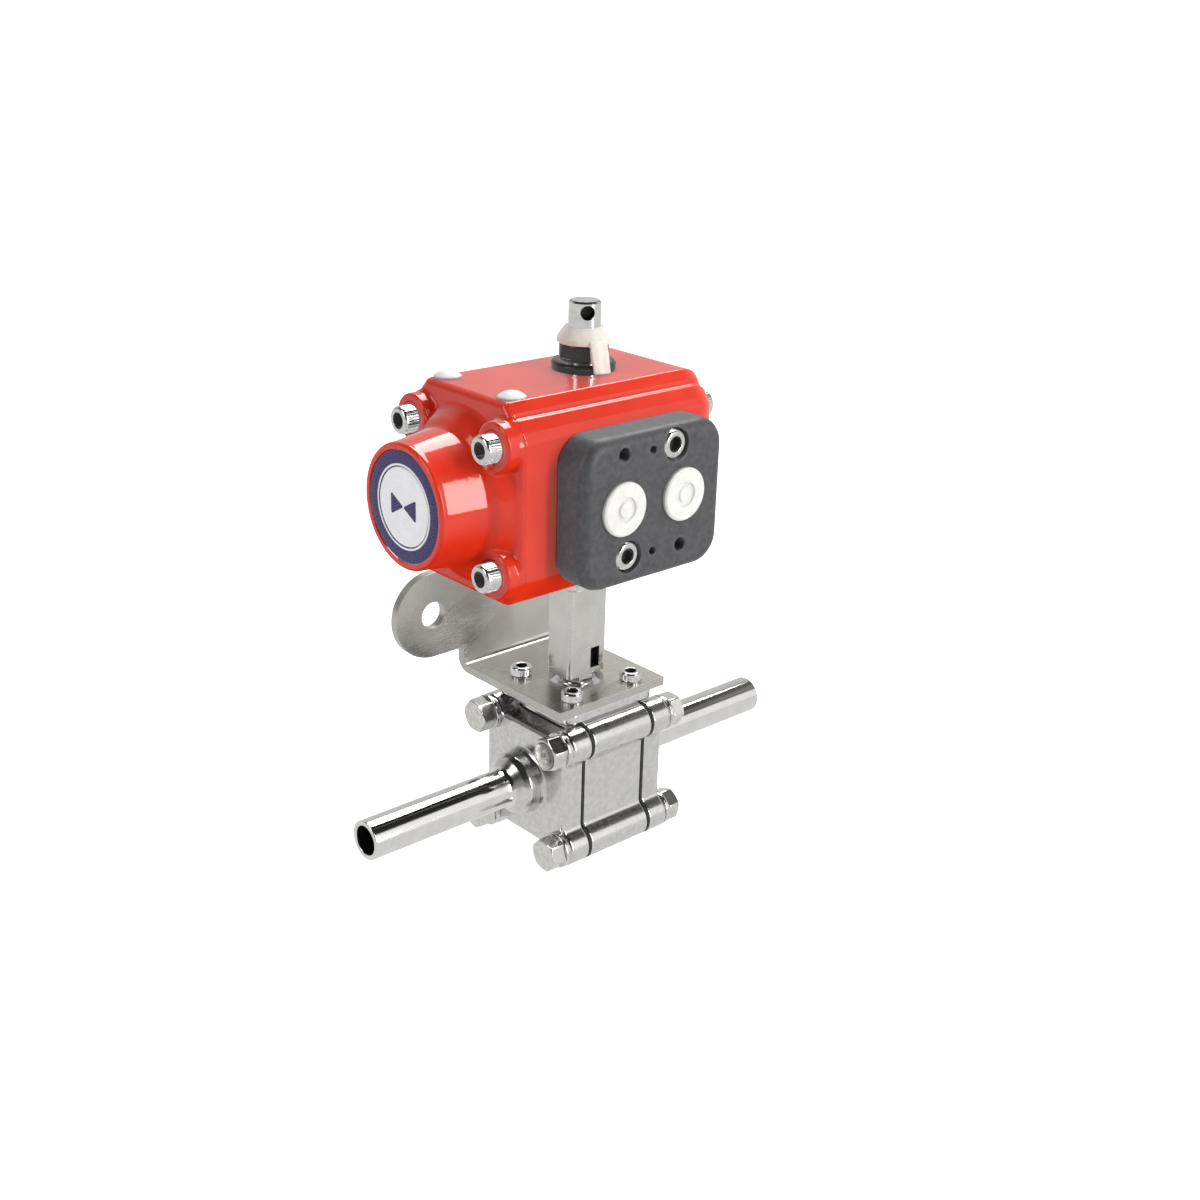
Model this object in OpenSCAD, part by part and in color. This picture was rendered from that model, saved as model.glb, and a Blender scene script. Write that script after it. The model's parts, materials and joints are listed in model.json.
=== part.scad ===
// Quarter-turn ball valve on a tube line, driven by a spring-return
// double-piston rack-and-pinion actuator on a folded stainless bracket.
// Millimetres. The tube axis is X, the stem axis is Z, the air ports face -Y (front).
// The origin is the centre of the open end of the left-hand tube, so the
// middle of the ball is at [span / 2, 0, 0].

/* [Flow line] */
// Overall length from tube end to tube end
span = 168; // [150:1:200]
// Outside diameter of the tube ends
tube_od = 12.7; // [12:0.05:13.5]
// Wall of the tube ends
tube_wall = 1.65; // [1:0.05:2.5]
// Diameter of the ball
ball_d = 19; // [18:0.1:19.4]

/* [Valve body] */
// Half length of the middle body along the tube axis
body_half = 12.5; // [12:0.1:13]
// Thickness of each flat body seal
seal_t = 1; // [0.6:0.1:1.4]
// Thickness of each bolted end flange
flange_t = 8; // [6:0.1:9]
// Half spacing of the four long body bolts
bolt_pos = 18; // [17:0.1:19]
// Radius of the corner lobes round the bolts
lobe_r = 6; // [5.5:0.1:6.5]
// Half width of the flats between the lobes
flat_half = 19.5; // [18.5:0.1:20.5]
// Height of the top pad above the tube axis
pad_z = 28; // [26:0.1:29]

/* [Bracket] */
// Sheet thickness
sheet = 3; // [2.6:0.1:3]
// Half length of the folded plates along the tube axis
plate_half = 22.5; // [20:0.1:24]
// Front edge of the folded plates
plate_front = -18.5; // [-20:0.1:-17.5]
// Outer face of the upright wall
wall_y = 34; // [32:0.1:36]
// Half spacing of the square screw pattern on both plates
screw_pos = 12.7; // [12.6:0.01:12.8]
// Hole centre of the rounded ear, along the tube axis
ear_x = -34.7; // [-38:0.1:-32]
// Hole centre of the rounded ear, height
ear_z = 51.3; // [49:0.1:54]
// Radius of the ear
ear_r = 14.6; // [12:0.1:16]
// Radius of the ear hole
ear_hole_r = 4.5; // [3:0.1:5.5]

/* [Drive coupling] */
// Width of the flat-sided bar along the tube axis when closed
bar_wx = 16; // [14:0.1:16.5]
// Width of the bar across the tube axis when closed
bar_wy = 11.2; // [10.8:0.1:14]
// Underside of the bar
bar_z = 33.5; // [33.4:0.1:34]

/* [Actuator] */
// Height of the cylinder axis above the tube axis
axis_z = 103; // [102:0.1:104]
// Left end of the housing
house_x0 = -44.8; // [-46:0.1:-44.8]
// Right end of the housing
house_x1 = 28.6; // [28.6:0.1:29]
// Half width of the housing
house_y = 27; // [26.5:0.1:27.5]
// Radius of the cylinder bore
bore_r = 22; // [21.9:0.05:22]
// Outer face of the domed cap
dome_x = -67.9; // [-68.5:0.1:-67]
// Outer face of the flat cap
flat_x = 35; // [35:0.1:36]
// Rounding of the right-hand end
end_r = 11; // [8:0.1:11]
// Distance of the housing's corners from the cylinder axis
corner_r = 34.7; // [34.6:0.1:35.2]
// Rounding of the turned shoulder behind the barrel
shoulder_r = 9.3; // [8.5:0.1:9.5]
// Half spacing of the cap screws, sideways
cap_y = 19.4; // [19.2:0.1:19.8]
// Half spacing of the cap screws, up and down
cap_z = 19.2; // [19:0.1:19.4]
// Centre of the port plate along the tube axis
port_x = -6.4; // [-7:0.1:-5]
// Accessory hole position along the tube axis
acc_x = -40.3; // [-40.4:0.1:-40]
// Half spacing of the accessory holes
acc_y = 15; // [14.5:0.1:15.5]
// Front face of the port plate
plate_face = -39.2; // [-40:0.1:-38]

/* [Rack and pinion] */
// Tooth module
gear_m = 0.8; // [0.8:0.1:0.8]
// Pinion teeth
teeth = 16; // [16:1:16]
// Pressure angle
pressure = 25; // [25:1:25]
// Play between teeth along the pitch line
backlash = 0.1; // [0.08:0.01:0.16]
// Return spring turns
coils = 6; // [5:1:7]
// Return spring wire diameter
wire_d = 2.4; // [2:0.1:2.6]

/* [Hidden] */
$fn = 64;
tube_r = tube_od / 2;
line_bore_r = tube_r - tube_wall;
ball_r = ball_d / 2;
flange_in = body_half + seal_t;
flange_out = flange_in + flange_t;
base_top = pad_z + sheet;
house_rise = 31;
house_drop = 30;
house_top = axis_z + house_rise;
house_foot = axis_z - house_drop;
top_z1 = axis_z - 27;  // upper face of the bracket's top plate
top_z0 = top_z1 - sheet;
wall_y0 = wall_y - sheet;

// five-millimetre screws and their holes
screw_d = 5;
tapped_r = screw_d / 2;
clear_r = tapped_r + 0.25;

red = [0.80, 0.10, 0.07];
dark = [0.20, 0.21, 0.24];
steel = [0.72, 0.72, 0.71];
sheet_metal = [0.70, 0.67, 0.61];
black = [0.05, 0.05, 0.05];
white = [0.90, 0.90, 0.88];
ptfe = [0.92, 0.91, 0.87];
aluminium = [0.78, 0.78, 0.80];
cream = [0.86, 0.84, 0.78];
navy = [0.05, 0.07, 0.30];
brass = [0.75, 0.60, 0.30];
spring_grey = [0.35, 0.36, 0.38];

// ---- placing ----
module at_valve() { translate([span / 2, 0, 0]) children(); }
module in_axis() { translate([0, 0, axis_z]) children(); }
module on_top() { translate([0, 0, house_top]) children(); }
module half_turn() { rotate([0, 0, 180]) children(); }
module four_xy(x, y) {
    for (px = [-x, x], py = [-y, y]) translate([px, py, 0]) children();
}
module four_yz(y, z) {
    for (py = [-y, y], pz = [-z, z]) translate([0, py, pz]) children();
}
module at_bolts() { four_yz(bolt_pos, bolt_pos) children(); }
module at_plate_screws() { four_xy(screw_pos, screw_pos) children(); }
module at_cap_screws() { four_yz(cap_y, cap_z) in_axis() children(); }

// ---- drawing aids; cutters overrun the faces they open by about 1 ----
module xcyl(r, x0, x1) {
    translate([x0, 0, 0]) rotate([0, 90, 0]) cylinder(r = r, h = x1 - x0);
}
module ycyl(r, y0, y1, x = 0, z = 0) {
    translate([x, y1, z]) rotate([90, 0, 0]) cylinder(r = r, h = y1 - y0);
}
module zcyl(r, z0, z1) {
    translate([0, 0, z0]) cylinder(r = r, h = z1 - z0);
}
module box(x0, x1, y0, y1, z0, z1) {
    translate([x0, y0, z0]) cube([x1 - x0, y1 - y0, z1 - z0]);
}
module square_bar(half, z0, z1) { box(-half, half, -half, half, z0, z1); }
// hexagon given by its width across the flats
module hex_prism(flats, h) { cylinder(r = flats / 2 / cos(30), h = h, $fn = 6); }

// flat outlines swept along one axis: the outline's axes are YZ, XZ and XY
module sweep_x(x0, x1) {
    translate([x0, 0, 0]) rotate([90, 0, 90]) linear_extrude(x1 - x0) children();
}
module sweep_y(y0, y1) {
    translate([0, y1, 0]) rotate([90, 0, 0]) linear_extrude(y1 - y0) children();
}
module sweep_z(z0, z1) {
    translate([0, 0, z0]) linear_extrude(z1 - z0) children();
}
// outlines turned about the cylinder axis: radius, then distance to the left or right
module turn_left() { in_axis() rotate([0, -90, 0]) rotate_extrude() children(); }
module turn_right() { in_axis() rotate([0, 90, 0]) rotate_extrude() children(); }

// rectangle with circular corners
module round_rect(x0, x1, y0, y1, r) {
    translate([x0 + r, y0]) square([x1 - x0 - 2 * r, y1 - y0]);
    translate([x0, y0 + r]) square([x1 - x0, y1 - y0 - 2 * r]);
    for (x = [x0 + r, x1 - r], y = [y0 + r, y1 - r]) translate([x, y]) circle(r = r);
}
module ring_x(outer, inner, x0, x1) {
    difference() {
        xcyl(outer, x0, x1);
        xcyl(inner, x0 - 1, x1 + 1);
    }
}
module ring_z(outer, inner, z0, z1) {
    difference() {
        zcyl(outer, z0, z1);
        zcyl(inner, z0 - 1, z1 + 1);
    }
}
// socket head screw along +Z: under-head face at zero, shank below it
module socket_screw(head_h, shank, head_r = 4.25, hex = 4) {
    bevel = 0.5;
    difference() {
        union() {
            cylinder(r = head_r, h = head_h - bevel);
            translate([0, 0, head_h - bevel])
                cylinder(r1 = head_r, r2 = head_r - bevel, h = bevel);
            translate([0, 0, -shank]) cylinder(r = screw_d / 2 - 0.05, h = shank + 0.5);
        }
        translate([0, 0, 0.45 * head_h]) hex_prism(hex, head_h);
    }
}

// ---- valve body and ends ----
body_bore_r = 12;
bolt_r = 2.95;
bolt_hole_r = 3.2;
collar_r = 10;
collar_end = -27.2;
cone_end = -31.5;
stem_r = 4;
thrust_top = 14;    // top of the pocket for the thrust seal
packing_z = 16;     // floor of the packing pocket
packing_r = 6.5;    // radius of the packing pocket

module lobed() {
    square([2 * flat_half, 2 * flat_half], center = true);
    for (y = [-bolt_pos, bolt_pos], z = [-bolt_pos, bolt_pos])
        translate([y, z]) circle(r = lobe_r);
}

module valve_body() at_valve() color(steel) difference() {
    union() {
        sweep_x(-body_half, body_half) lobed();
        // neck and top pad
        box(-body_half, body_half, -15, 15, 17, pad_z - 2);
        sweep_z(pad_z - 3.6, pad_z) round_rect(-19, 19, -18, 18, 4);
    }
    xcyl(body_bore_r, -body_half - 1, body_half + 1);
    at_bolts() xcyl(bolt_hole_r, -body_half - 1, body_half + 1);
    // stem bore with its seal and packing pockets
    zcyl(6.2, 0, thrust_top);
    zcyl(stem_r + 0.06, 0, pad_z);
    zcyl(packing_r, packing_z, pad_z + 1);
    at_plate_screws() zcyl(tapped_r, pad_z - 5, pad_z + 1);
}

// left-hand piece; the right one is its twin turned round
module end_piece() color(steel) difference() {
    union() {
        sweep_x(-flange_out, -flange_in) lobed();
        xcyl(collar_r, collar_end, -flange_out + 1);
        translate([cone_end, 0, 0]) rotate([0, 90, 0])
            cylinder(r1 = tube_r, r2 = collar_r, h = collar_end - cone_end);
        xcyl(tube_r, -span / 2, cone_end + 0.1);
    }
    xcyl(line_bore_r, -span / 2 - 1, 0);
    at_bolts() xcyl(bolt_hole_r, -flange_out - 1, 0);
}
module left_end_piece() at_valve() end_piece();
module right_end_piece() at_valve() half_turn() end_piece();

module body_seal() color(black) difference() {
    sweep_x(-flange_in, -body_half) lobed();
    xcyl(body_bore_r, -flange_in - 1, 0);
    at_bolts() xcyl(bolt_hole_r, -flange_in - 1, 0);
}
module left_body_seal() at_valve() body_seal();
module right_body_seal() at_valve() half_turn() body_seal();

// the ball stands closed: its bore lies across the tube axis
module valve_ball() at_valve() color(steel) difference() {
    sphere(r = ball_r);
    ycyl(line_bore_r, -ball_r - 1, ball_r + 1);
    // slot for the stem's tongue
    box(-ball_r, ball_r, -2, 2, 6.6, ball_r + 1);
}
module seat() color(ptfe) difference() {
    xcyl(body_bore_r - 0.05, -flange_in, -6.4);
    sphere(r = ball_r + 0.03);
    xcyl(line_bore_r + 0.2, -flange_in - 1, 0);
}
module left_seat() at_valve() seat();
module right_seat() at_valve() half_turn() seat();

// ---- stem and packing ----
stem_square = 2.8;    // half width of the stem's square end
ring_count = 3;
ring_pitch = 2;
gland_z = packing_z + ring_count * ring_pitch;
gland_bore_r = stem_r + 0.08;

// disc spring sections: radius, height
disc_springs = [
    [[4.02, 29.4], [6.6, 28.72], [6.6, 29.12], [4.02, 29.8]],
    [[4.02, 29.82], [6.6, 30.5], [6.6, 30.9], [4.02, 30.22]]];

module valve_stem() at_valve() color(steel) union() {
    zcyl(5.8, 10.4, 12.4);
    zcyl(stem_r, 12.3, bar_z - 0.05);
    square_bar(stem_square, bar_z - 1, bar_z + 10.5);
    // tongue in the ball's slot
    intersection() {
        box(-5, 5, -1.95, 1.95, 6.8, 10.5);
        zcyl(5.6, 6, 11);
    }
}
module stem_thrust_seal() at_valve() color(ptfe) ring_z(6.1, stem_r + 0.05, 12.42, thrust_top);

// packing rings with a V groove in the top
module stem_packing() at_valve() color(ptfe) for (i = [0:ring_count - 1]) {
    inner = stem_r + 0.04;
    outer = packing_r - 0.04;
    z = packing_z + ring_pitch * i;
    rotate_extrude() polygon([[inner, z], [outer, z], [outer, z + 1.96],
        [(inner + outer) / 2, z + 1.56], [inner, z + 1.96]]);
}
module packing_gland() at_valve() color(steel) rotate_extrude()
    polygon([[gland_bore_r, gland_z], [6.44, gland_z], [6.44, 28.1],
        [7.2, 28.1], [7.2, 28.7], [gland_bore_r, 28.7]]);
module gland_springs() at_valve() color(steel)
    for (section = disc_springs) rotate_extrude() polygon(section);
module stem_nut() at_valve() color(steel) difference() {
    translate([0, 0, 30.92]) hex_prism(10, bar_z - 0.1 - 30.92);
    zcyl(stem_r + 0.02, 30, bar_z + 1);
}

// ---- body bolts: heads on the left, nuts on the right ----
bolt_flats = 10;
bevel_r = 4.9;    // radius left by the bevel on the outer face
washer_t = 1.6;
head_h = 5.3;
nut_h = 5;

module body_bolts() at_valve() color(steel) at_bolts() {
    xcyl(bolt_r, -flange_out - 2, flange_out + 7.6);
    translate([-flange_out - washer_t - head_h, 0, 0]) rotate([0, 90, 0]) intersection() {
        hex_prism(bolt_flats, head_h);
        cylinder(r1 = bevel_r, r2 = 11, h = 6.1);
    }
}
module body_washers() at_valve() color(steel) at_bolts() {
    ring_x(5.9, 3, -flange_out - washer_t, -flange_out);
    ring_x(5.9, 3, flange_out, flange_out + washer_t);
}
module body_nuts() at_valve() color(steel) at_bolts() difference() {
    intersection() {
        translate([flange_out + washer_t, 0, 0]) rotate([0, 90, 0])
            hex_prism(bolt_flats, nut_h);
        translate([flange_out + 0.4, 0, 0]) rotate([0, 90, 0])
            cylinder(r1 = 11, r2 = bevel_r, h = 6.2);
    }
    xcyl(bolt_r + 0.01, flange_out, flange_out + 9);
}

// ---- bracket and coupling ----
fold_r = 5;    // outer radius of the folds

// quarter ring centred at height z; cut_z is the foot of the strip cut off beside it
module fold(z, cut_z) translate([wall_y - fold_r, z]) difference() {
    circle(r = fold_r);
    circle(r = fold_r - sheet);
    translate([-7, cut_z]) square([14, 6]);
    translate([-7, -6]) square([7, 14]);
}
// base, upright and top plate in side view with round folds
module fold_profile() {
    for (z = [pad_z, top_z0])
        translate([plate_front, z]) square([wall_y - fold_r - plate_front, sheet]);
    translate([wall_y0, pad_z + fold_r]) square([sheet, top_z1 - pad_z - 2 * fold_r]);
    fold(pad_z + fold_r, 0);
    fold(top_z1 - fold_r, -6);
}
module ear_outline() difference() {
    union() {
        translate([ear_x, ear_z]) circle(r = ear_r);
        translate([ear_x, ear_z - ear_r]) square([-plate_half - ear_x + 2, 2 * ear_r]);
    }
    translate([ear_x, ear_z]) circle(r = ear_hole_r);
}
module mounting_bracket() at_valve() color(sheet_metal) difference() {
    union() {
        sweep_x(-plate_half, plate_half) fold_profile();
        sweep_y(wall_y0, wall_y) ear_outline();
    }
    zcyl(9, pad_z - 1, base_top + 1);
    zcyl(10.5, top_z0 - 1, top_z1 + 1);
    at_plate_screws() {
        zcyl(clear_r, pad_z - 1, base_top + 1);
        zcyl(clear_r, top_z0 - 1, top_z1 + 1);
    }
}
module bracket_valve_screws() at_valve() color(steel) at_plate_screws()
    translate([0, 0, base_top]) socket_screw(head_h = 3, shank = 7, head_r = 3.6, hex = 3);
module bracket_housing_screws() at_valve() color(steel) at_plate_screws()
    translate([0, 0, top_z0]) rotate([180, 0, 0]) socket_screw(head_h = 4, shank = 8.8);

module drive_coupling() at_valve() color(sheet_metal) difference() {
    union() {
        sweep_z(bar_z, top_z0 - 1.4)
            round_rect(-bar_wx / 2, bar_wx / 2, -bar_wy / 2, bar_wy / 2, 1.4);
        square_bar(4.45, top_z0 - 2, top_z1 + 7);
    }
    square_bar(stem_square + 0.05, bar_z - 1, bar_z + 12);
    // slot in the front face
    box(1.2, 4.9, -bar_wy / 2 - 1, -2.8, bar_z + 2, bar_z + 9);
}

// ---- actuator shell ----
far_left = -60;             // start of the shapes that round the right-hand end
cap_seat_x = -50.4;         // screw seats of the domed cap
shoulder_x = 51;            // turned shoulder, distance left of the stem axis
flat_seat_depth = 4.6;      // screw seats of the flat cap
seal_outer_r = 24.4;        // cap seal grooves
spring_seal_r = 22.6;
flat_seal_r = 22.9;
seal_play = 0.05;
lower_hole_r = 9.5;         // shaft holes
upper_hole_r = 7.5;
badge_r = 11.8;

// right half of the end view from the flat top over stepped shoulders
// to the chamfered foot: y, height above the cylinder axis
half_outline = [[18.4, house_rise], [21.2, 28.1], [21.5, 27], [23, 26.5], [25.3, 23.6],
    [house_y, 20.8], [house_y, -21], [19.6, -house_drop]];

module housing_outline() polygon(concat(
    [for (p = half_outline) [-p.x, p.y]],
    [for (i = [len(half_outline) - 1:-1:0]) half_outline[i]]));

// rectangle reaching from far left to the flat cap's face, its right corners rounded
module round_end(low, high) {
    translate([far_left, low]) square([flat_x - end_r - far_left, high - low]);
    translate([far_left, low + end_r]) square([flat_x - far_left, high - low - 2 * end_r]);
    for (v = [low + end_r, high - end_r]) translate([flat_x - end_r, v]) circle(r = end_r);
}
// housing outline between two planes, rounded towards the right-hand end
module end_shape(x0, x1) intersection() {
    in_axis() sweep_x(x0, x1) housing_outline();
    sweep_y(-house_y - 1, house_y + 1) round_end(house_foot, house_top);
    sweep_z(house_foot - 1, house_top + 1) round_end(-house_y, house_y);
    // the four corners are turned to the same rounding
    turn_right() union() {
        translate([0, far_left]) square([corner_r, flat_x - end_r - far_left]);
        translate([0, far_left]) square([corner_r - end_r, flat_x - far_left]);
        translate([corner_r - end_r, flat_x - end_r]) circle(r = end_r);
    }
}
module actuator_housing() at_valve() color(red) difference() {
    end_shape(house_x0, house_x1);
    in_axis() xcyl(bore_r, house_x0 - 1, house_x1 + 1);
    // seat for the bracket's top plate
    box(-plate_half - 0.3, plate_half + 0.3, plate_front - 0.3, house_y + 1,
        house_foot - 1, top_z1);
    // shaft holes
    zcyl(lower_hole_r, house_foot, axis_z - 15);
    zcyl(upper_hole_r, axis_z + 15, house_top + 1);
    at_cap_screws() {
        xcyl(tapped_r, house_x0 - 1, house_x0 + 13);
        xcyl(tapped_r, house_x1 - 13, house_x1 + 1);
    }
    at_plate_screws() zcyl(tapped_r, house_foot, top_z1 + 6);
    at_accessories() zcyl(tapped_r, axis_z + 22, house_top + 1);
    // port plate screws and air passages
    at_port_screws() ycyl(tapped_r, -house_y - 1, -18.5);
    air_holes(-house_y - 1, -15);
}

// flange of the domed cap: corner posts round the screws, a turned shoulder between them
module dome_flange() intersection() {
    in_axis() sweep_x(-50.6, house_x0) housing_outline();
    union() {
        box(-46, house_x0 + 0.5, -house_y - 1, house_y + 1, house_foot - 1, house_top + 1);
        at_cap_screws() xcyl(7.5, -shoulder_x, house_x0 + 0.5);
        turn_left() intersection() {
            union() {
                translate([0, shoulder_x - shoulder_r])
                    square([house_y - shoulder_r, shoulder_r]);
                translate([house_y - shoulder_r, shoulder_x - shoulder_r])
                    circle(r = shoulder_r);
            }
            translate([0, 44]) square([30, 8]);
        }
    }
}
// barrel of the domed cap with a rounded outer edge
module dome_barrel() {
    edge_r = 2.1;
    face_r = 16.8;
    turn_left() union() {
        polygon([[0, 46], [22.2, 46], [22.2, 50.3], [20.6, 52.4],
            [18.9, -dome_x - 2], [0, -dome_x - 2]]);
        translate([0, -dome_x - edge_r]) square([face_r, edge_r]);
        translate([face_r, -dome_x - edge_r]) circle(r = edge_r);
    }
}
module spring_cap() at_valve() color(red) difference() {
    union() {
        dome_flange();
        dome_barrel();
    }
    in_axis() {
        xcyl(16, -63.4, house_x0 + 1);
        // badge recess
        xcyl(16.8, dome_x - 1, dome_x + 0.9);
        ring_x(seal_outer_r, spring_seal_r, house_x0 - 1.3, house_x0 + 1);
    }
    at_cap_screws() {
        xcyl(clear_r, -55, house_x0 + 1);
        // seats for the screw heads beside the barrel
        xcyl(4.7, -60, cap_seat_x);
    }
}
module flat_cap() at_valve() color(red) difference() {
    end_shape(house_x1, flat_x);
    in_axis() xcyl(bore_r, house_x1 - 1, 30.9);
    in_axis() ring_x(seal_outer_r, flat_seal_r, house_x1 - 1, house_x1 + 1);
    at_cap_screws() {
        xcyl(clear_r, house_x1 - 1, flat_x + 1);
        xcyl(4.8, flat_x - flat_seat_depth, flat_x + 1);
    }
}
module spring_cap_screws() at_valve() color(steel) at_cap_screws()
    translate([cap_seat_x, 0, 0]) rotate([0, -90, 0]) socket_screw(head_h = 5, shank = 17);
module flat_cap_screws() at_valve() color(steel) at_cap_screws()
    translate([flat_x - flat_seat_depth, 0, 0]) rotate([0, 90, 0])
        socket_screw(head_h = 3.5, shank = 13.4, hex = 3);
module cap_seal(inner, x0, x1) color(black) in_axis()
    ring_x(seal_outer_r - seal_play, inner + seal_play, x0, x1);
module spring_cap_seal() at_valve() cap_seal(spring_seal_r, house_x0 - 1.2, house_x0);
module flat_cap_seal() at_valve() cap_seal(flat_seal_r, house_x1, house_x1 + 0.9);
module badge_ring() at_valve() color(navy) in_axis()
    ring_x(16.6, badge_r, dome_x + 0.3, dome_x + 0.9);
module badge_disc() at_valve() color(white) in_axis()
    xcyl(badge_r - 0.05, dome_x + 0.35, dome_x + 0.9);

// ---- pinion ----
pitch_r = gear_m * teeth / 2;
addendum = 0.9 * gear_m;
tip_r = pitch_r + addendum;
root_r = pitch_r - 1.2 * gear_m;
base_r = pitch_r * cos(pressure);
pitch = PI * gear_m;
half_tooth = (pitch / 2 - backlash / 2) / 2;    // half tooth thickness on the pitch line
gear_half_h = 8.5;
shaft_foot_r = 8;
shaft_r = 6;
spigot_r = 5;

// involute of an angle, and half the angle a tooth fills at a radius, in degrees
function involute(a) = tan(a) * 180 / PI - a;
function half_angle(r) = half_tooth / pitch_r * 180 / PI + involute(pressure)
    - involute(acos(min(1, base_r / r)));
function polar(r, a) = [r * cos(a), r * sin(a)];

flank_r = [base_r, base_r + 0.12, base_r + 0.35, base_r + 0.65, base_r + 0.98, tip_r];
// one side of a tooth from root to tip: radius, half angle
tooth_side = concat([[root_r, half_angle(base_r)]], [for (r = flank_r) [r, half_angle(r)]]);
function pinion_points() = [for (i = [0:teeth - 1]) let (mid = 360 / teeth * i)
    each concat(
        [for (p = tooth_side) polar(p[0], mid - p[1])],
        [for (k = [len(tooth_side) - 1:-1:0]) let (p = tooth_side[k]) polar(p[0], mid + p[1])])];

module pinion() at_valve() color(steel) difference() {
    union() {
        zcyl(shaft_foot_r, top_z1 + 0.1, axis_z - gear_half_h);
        sweep_z(axis_z - gear_half_h, axis_z + gear_half_h) polygon(pinion_points());
        zcyl(shaft_r, axis_z + gear_half_h, house_top + 2.1);
        zcyl(spigot_r, house_top + 2, house_top + 20.4);
        translate([0, 0, house_top + 20.4]) cylinder(r1 = spigot_r, r2 = 4.4, h = 0.6);
    }
    // socket for the coupling's square
    square_bar(4.5, top_z1 - 1, top_z1 + 8);
    // groove for the retaining ring
    ring_z(9, 5.35, house_top + 0.75, house_top + 1.75);
    // tommy-bar hole
    rotate([0, 0, -31]) ycyl(2.2, -9, 9, 0, house_top + 17.8);
}

// ---- pistons and racks ----
piston_x1 = -13.2;      // inner face of the left piston
arm_end = 12.9;
groove_x0 = -18.2;
groove_x1 = -15.2;
groove_r = 20.4;

// cutter outline for one rack space on the +Y side, its mouth towards the pinion
module rack_space(x) {
    lean = tan(pressure);
    depth = 1.15 * gear_m;
    mouth = addendum + 0.4;
    half_gap = pitch / 2 - half_tooth;
    half_mouth = half_gap + mouth * lean;
    half_floor = half_gap - depth * lean;
    translate([x, 0]) polygon([[-half_mouth, pitch_r - mouth], [half_mouth, pitch_r - mouth],
        [half_floor, pitch_r + depth], [-half_floor, pitch_r + depth]]);
}
// piston on the left with its rack arm on the +Y side of the pinion
module piston_body() difference() {
    union() {
        in_axis() xcyl(bore_r - 0.06, -20.2, piston_x1);
        intersection() {
            in_axis() xcyl(20, -14, arm_end);
            box(-14, arm_end, pitch_r - addendum, 21, axis_z - 7, axis_z + 7);
        }
    }
    // seal groove
    in_axis() ring_x(bore_r + 1, groove_r, groove_x0, groove_x1);
    // spring pocket
    in_axis() xcyl(15.5, -24, -18);
    sweep_z(axis_z - 8, axis_z + 8) for (i = [-2:5]) rack_space(pitch * i);
    // relief beside the toothed length
    box(piston_x1, -pitch * 2, 0, pitch_r + 1.3, axis_z - 8, axis_z + 8);
}
module left_piston() at_valve() color(aluminium) piston_body();
module right_piston() at_valve() color(aluminium) half_turn() piston_body();
module piston_ring() color(black) in_axis()
    ring_x(bore_r - 0.04, groove_r + 0.04, groove_x0 + 0.05, groove_x1 - 0.05);
module left_piston_seal() at_valve() piston_ring();
module right_piston_seal() at_valve() half_turn() piston_ring();
module guide_pad() color(ptfe) intersection() {
    in_axis() ring_x(bore_r - 0.05, 20.02, -1, 12.4);
    box(-2, 14, 10, 23, axis_z - 6, axis_z + 6);
}
module left_rack_guide() at_valve() guide_pad();
module right_rack_guide() at_valve() half_turn() guide_pad();

// ---- return spring between the left piston and the dome, wound along the axis ----
spring_x0 = -63.3;
spring_x1 = -18.1;
spring_r = 13;
spring_steps = 14 * coils;
wire_sides = 8;
wire_r = wire_d / 2;
end_part = 0.13;    // share of the winding at each end that is wound closer
end_rate = 0.35;    // advance there, against an even winding

// share of the length covered at share t of the winding
function advance(t) =
    t < end_part ? end_rate * t
    : t > 1 - end_part ? 1 - end_rate * (1 - t)
    : end_rate * end_part
        + (t - end_part) * (1 - 2 * end_rate * end_part) / (1 - 2 * end_part);
function spring_point(i, j) = let (
    t = i / spring_steps,
    turn = 360 * coils * t,
    around = 360 * (j + 0.5) / wire_sides,
    r = spring_r + wire_r * cos(around),
    x = spring_x0 + wire_r + (spring_x1 - spring_x0 - wire_d) * advance(t))
    [x + wire_r * sin(around), r * cos(turn), axis_z + r * sin(turn)];
function spring_index(i, j) = i * wire_sides + j % wire_sides;

module return_spring() at_valve() color(spring_grey) polyhedron(
    points = [for (i = [0:spring_steps], j = [0:wire_sides - 1]) spring_point(i, j)],
    faces = concat(
        [[for (j = [0:wire_sides - 1]) j]],
        [[for (j = [wire_sides - 1:-1:0]) spring_index(spring_steps, j)]],
        [for (i = [0:spring_steps - 1], j = [0:wire_sides - 1]) each [
            [spring_index(i, j), spring_index(i + 1, j), spring_index(i + 1, j + 1)],
            [spring_index(i, j), spring_index(i + 1, j + 1), spring_index(i, j + 1)]]]));

// ---- shaft bearings and seals ----
module bearing(hole_r, inner_r, z0, z1) color(ptfe) ring_z(hole_r - 0.04, inner_r + 0.04, z0, z1);
module upper_bearing() at_valve() bearing(upper_hole_r, shaft_r, axis_z + 23, axis_z + 26.8);
module lower_bearing() at_valve() bearing(lower_hole_r, shaft_foot_r, top_z1 + 0.1, top_z1 + 2);
// O-ring midway between a hole and the shaft in it
module o_ring(hole_r, inner_r, z) color(black)
    rotate_extrude() translate([(hole_r + inner_r) / 2, z]) circle(r = 0.69, $fn = 24);
module upper_shaft_seal() at_valve() o_ring(upper_hole_r, shaft_r, axis_z + 28.4);
module lower_shaft_seal() at_valve() o_ring(lower_hole_r, shaft_foot_r, top_z1 + 3);
module thrust_washer() at_valve() color(brass)
    ring_z(8.4, shaft_r + 0.06, house_top, house_top + 0.7);
module retaining_ring() at_valve() color(steel) difference() {
    ring_z(7.9, 5.4, house_top + 0.8, house_top + 1.7);
    box(3, 9, -1.6, 1.6, house_top, house_top + 3);
}

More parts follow.
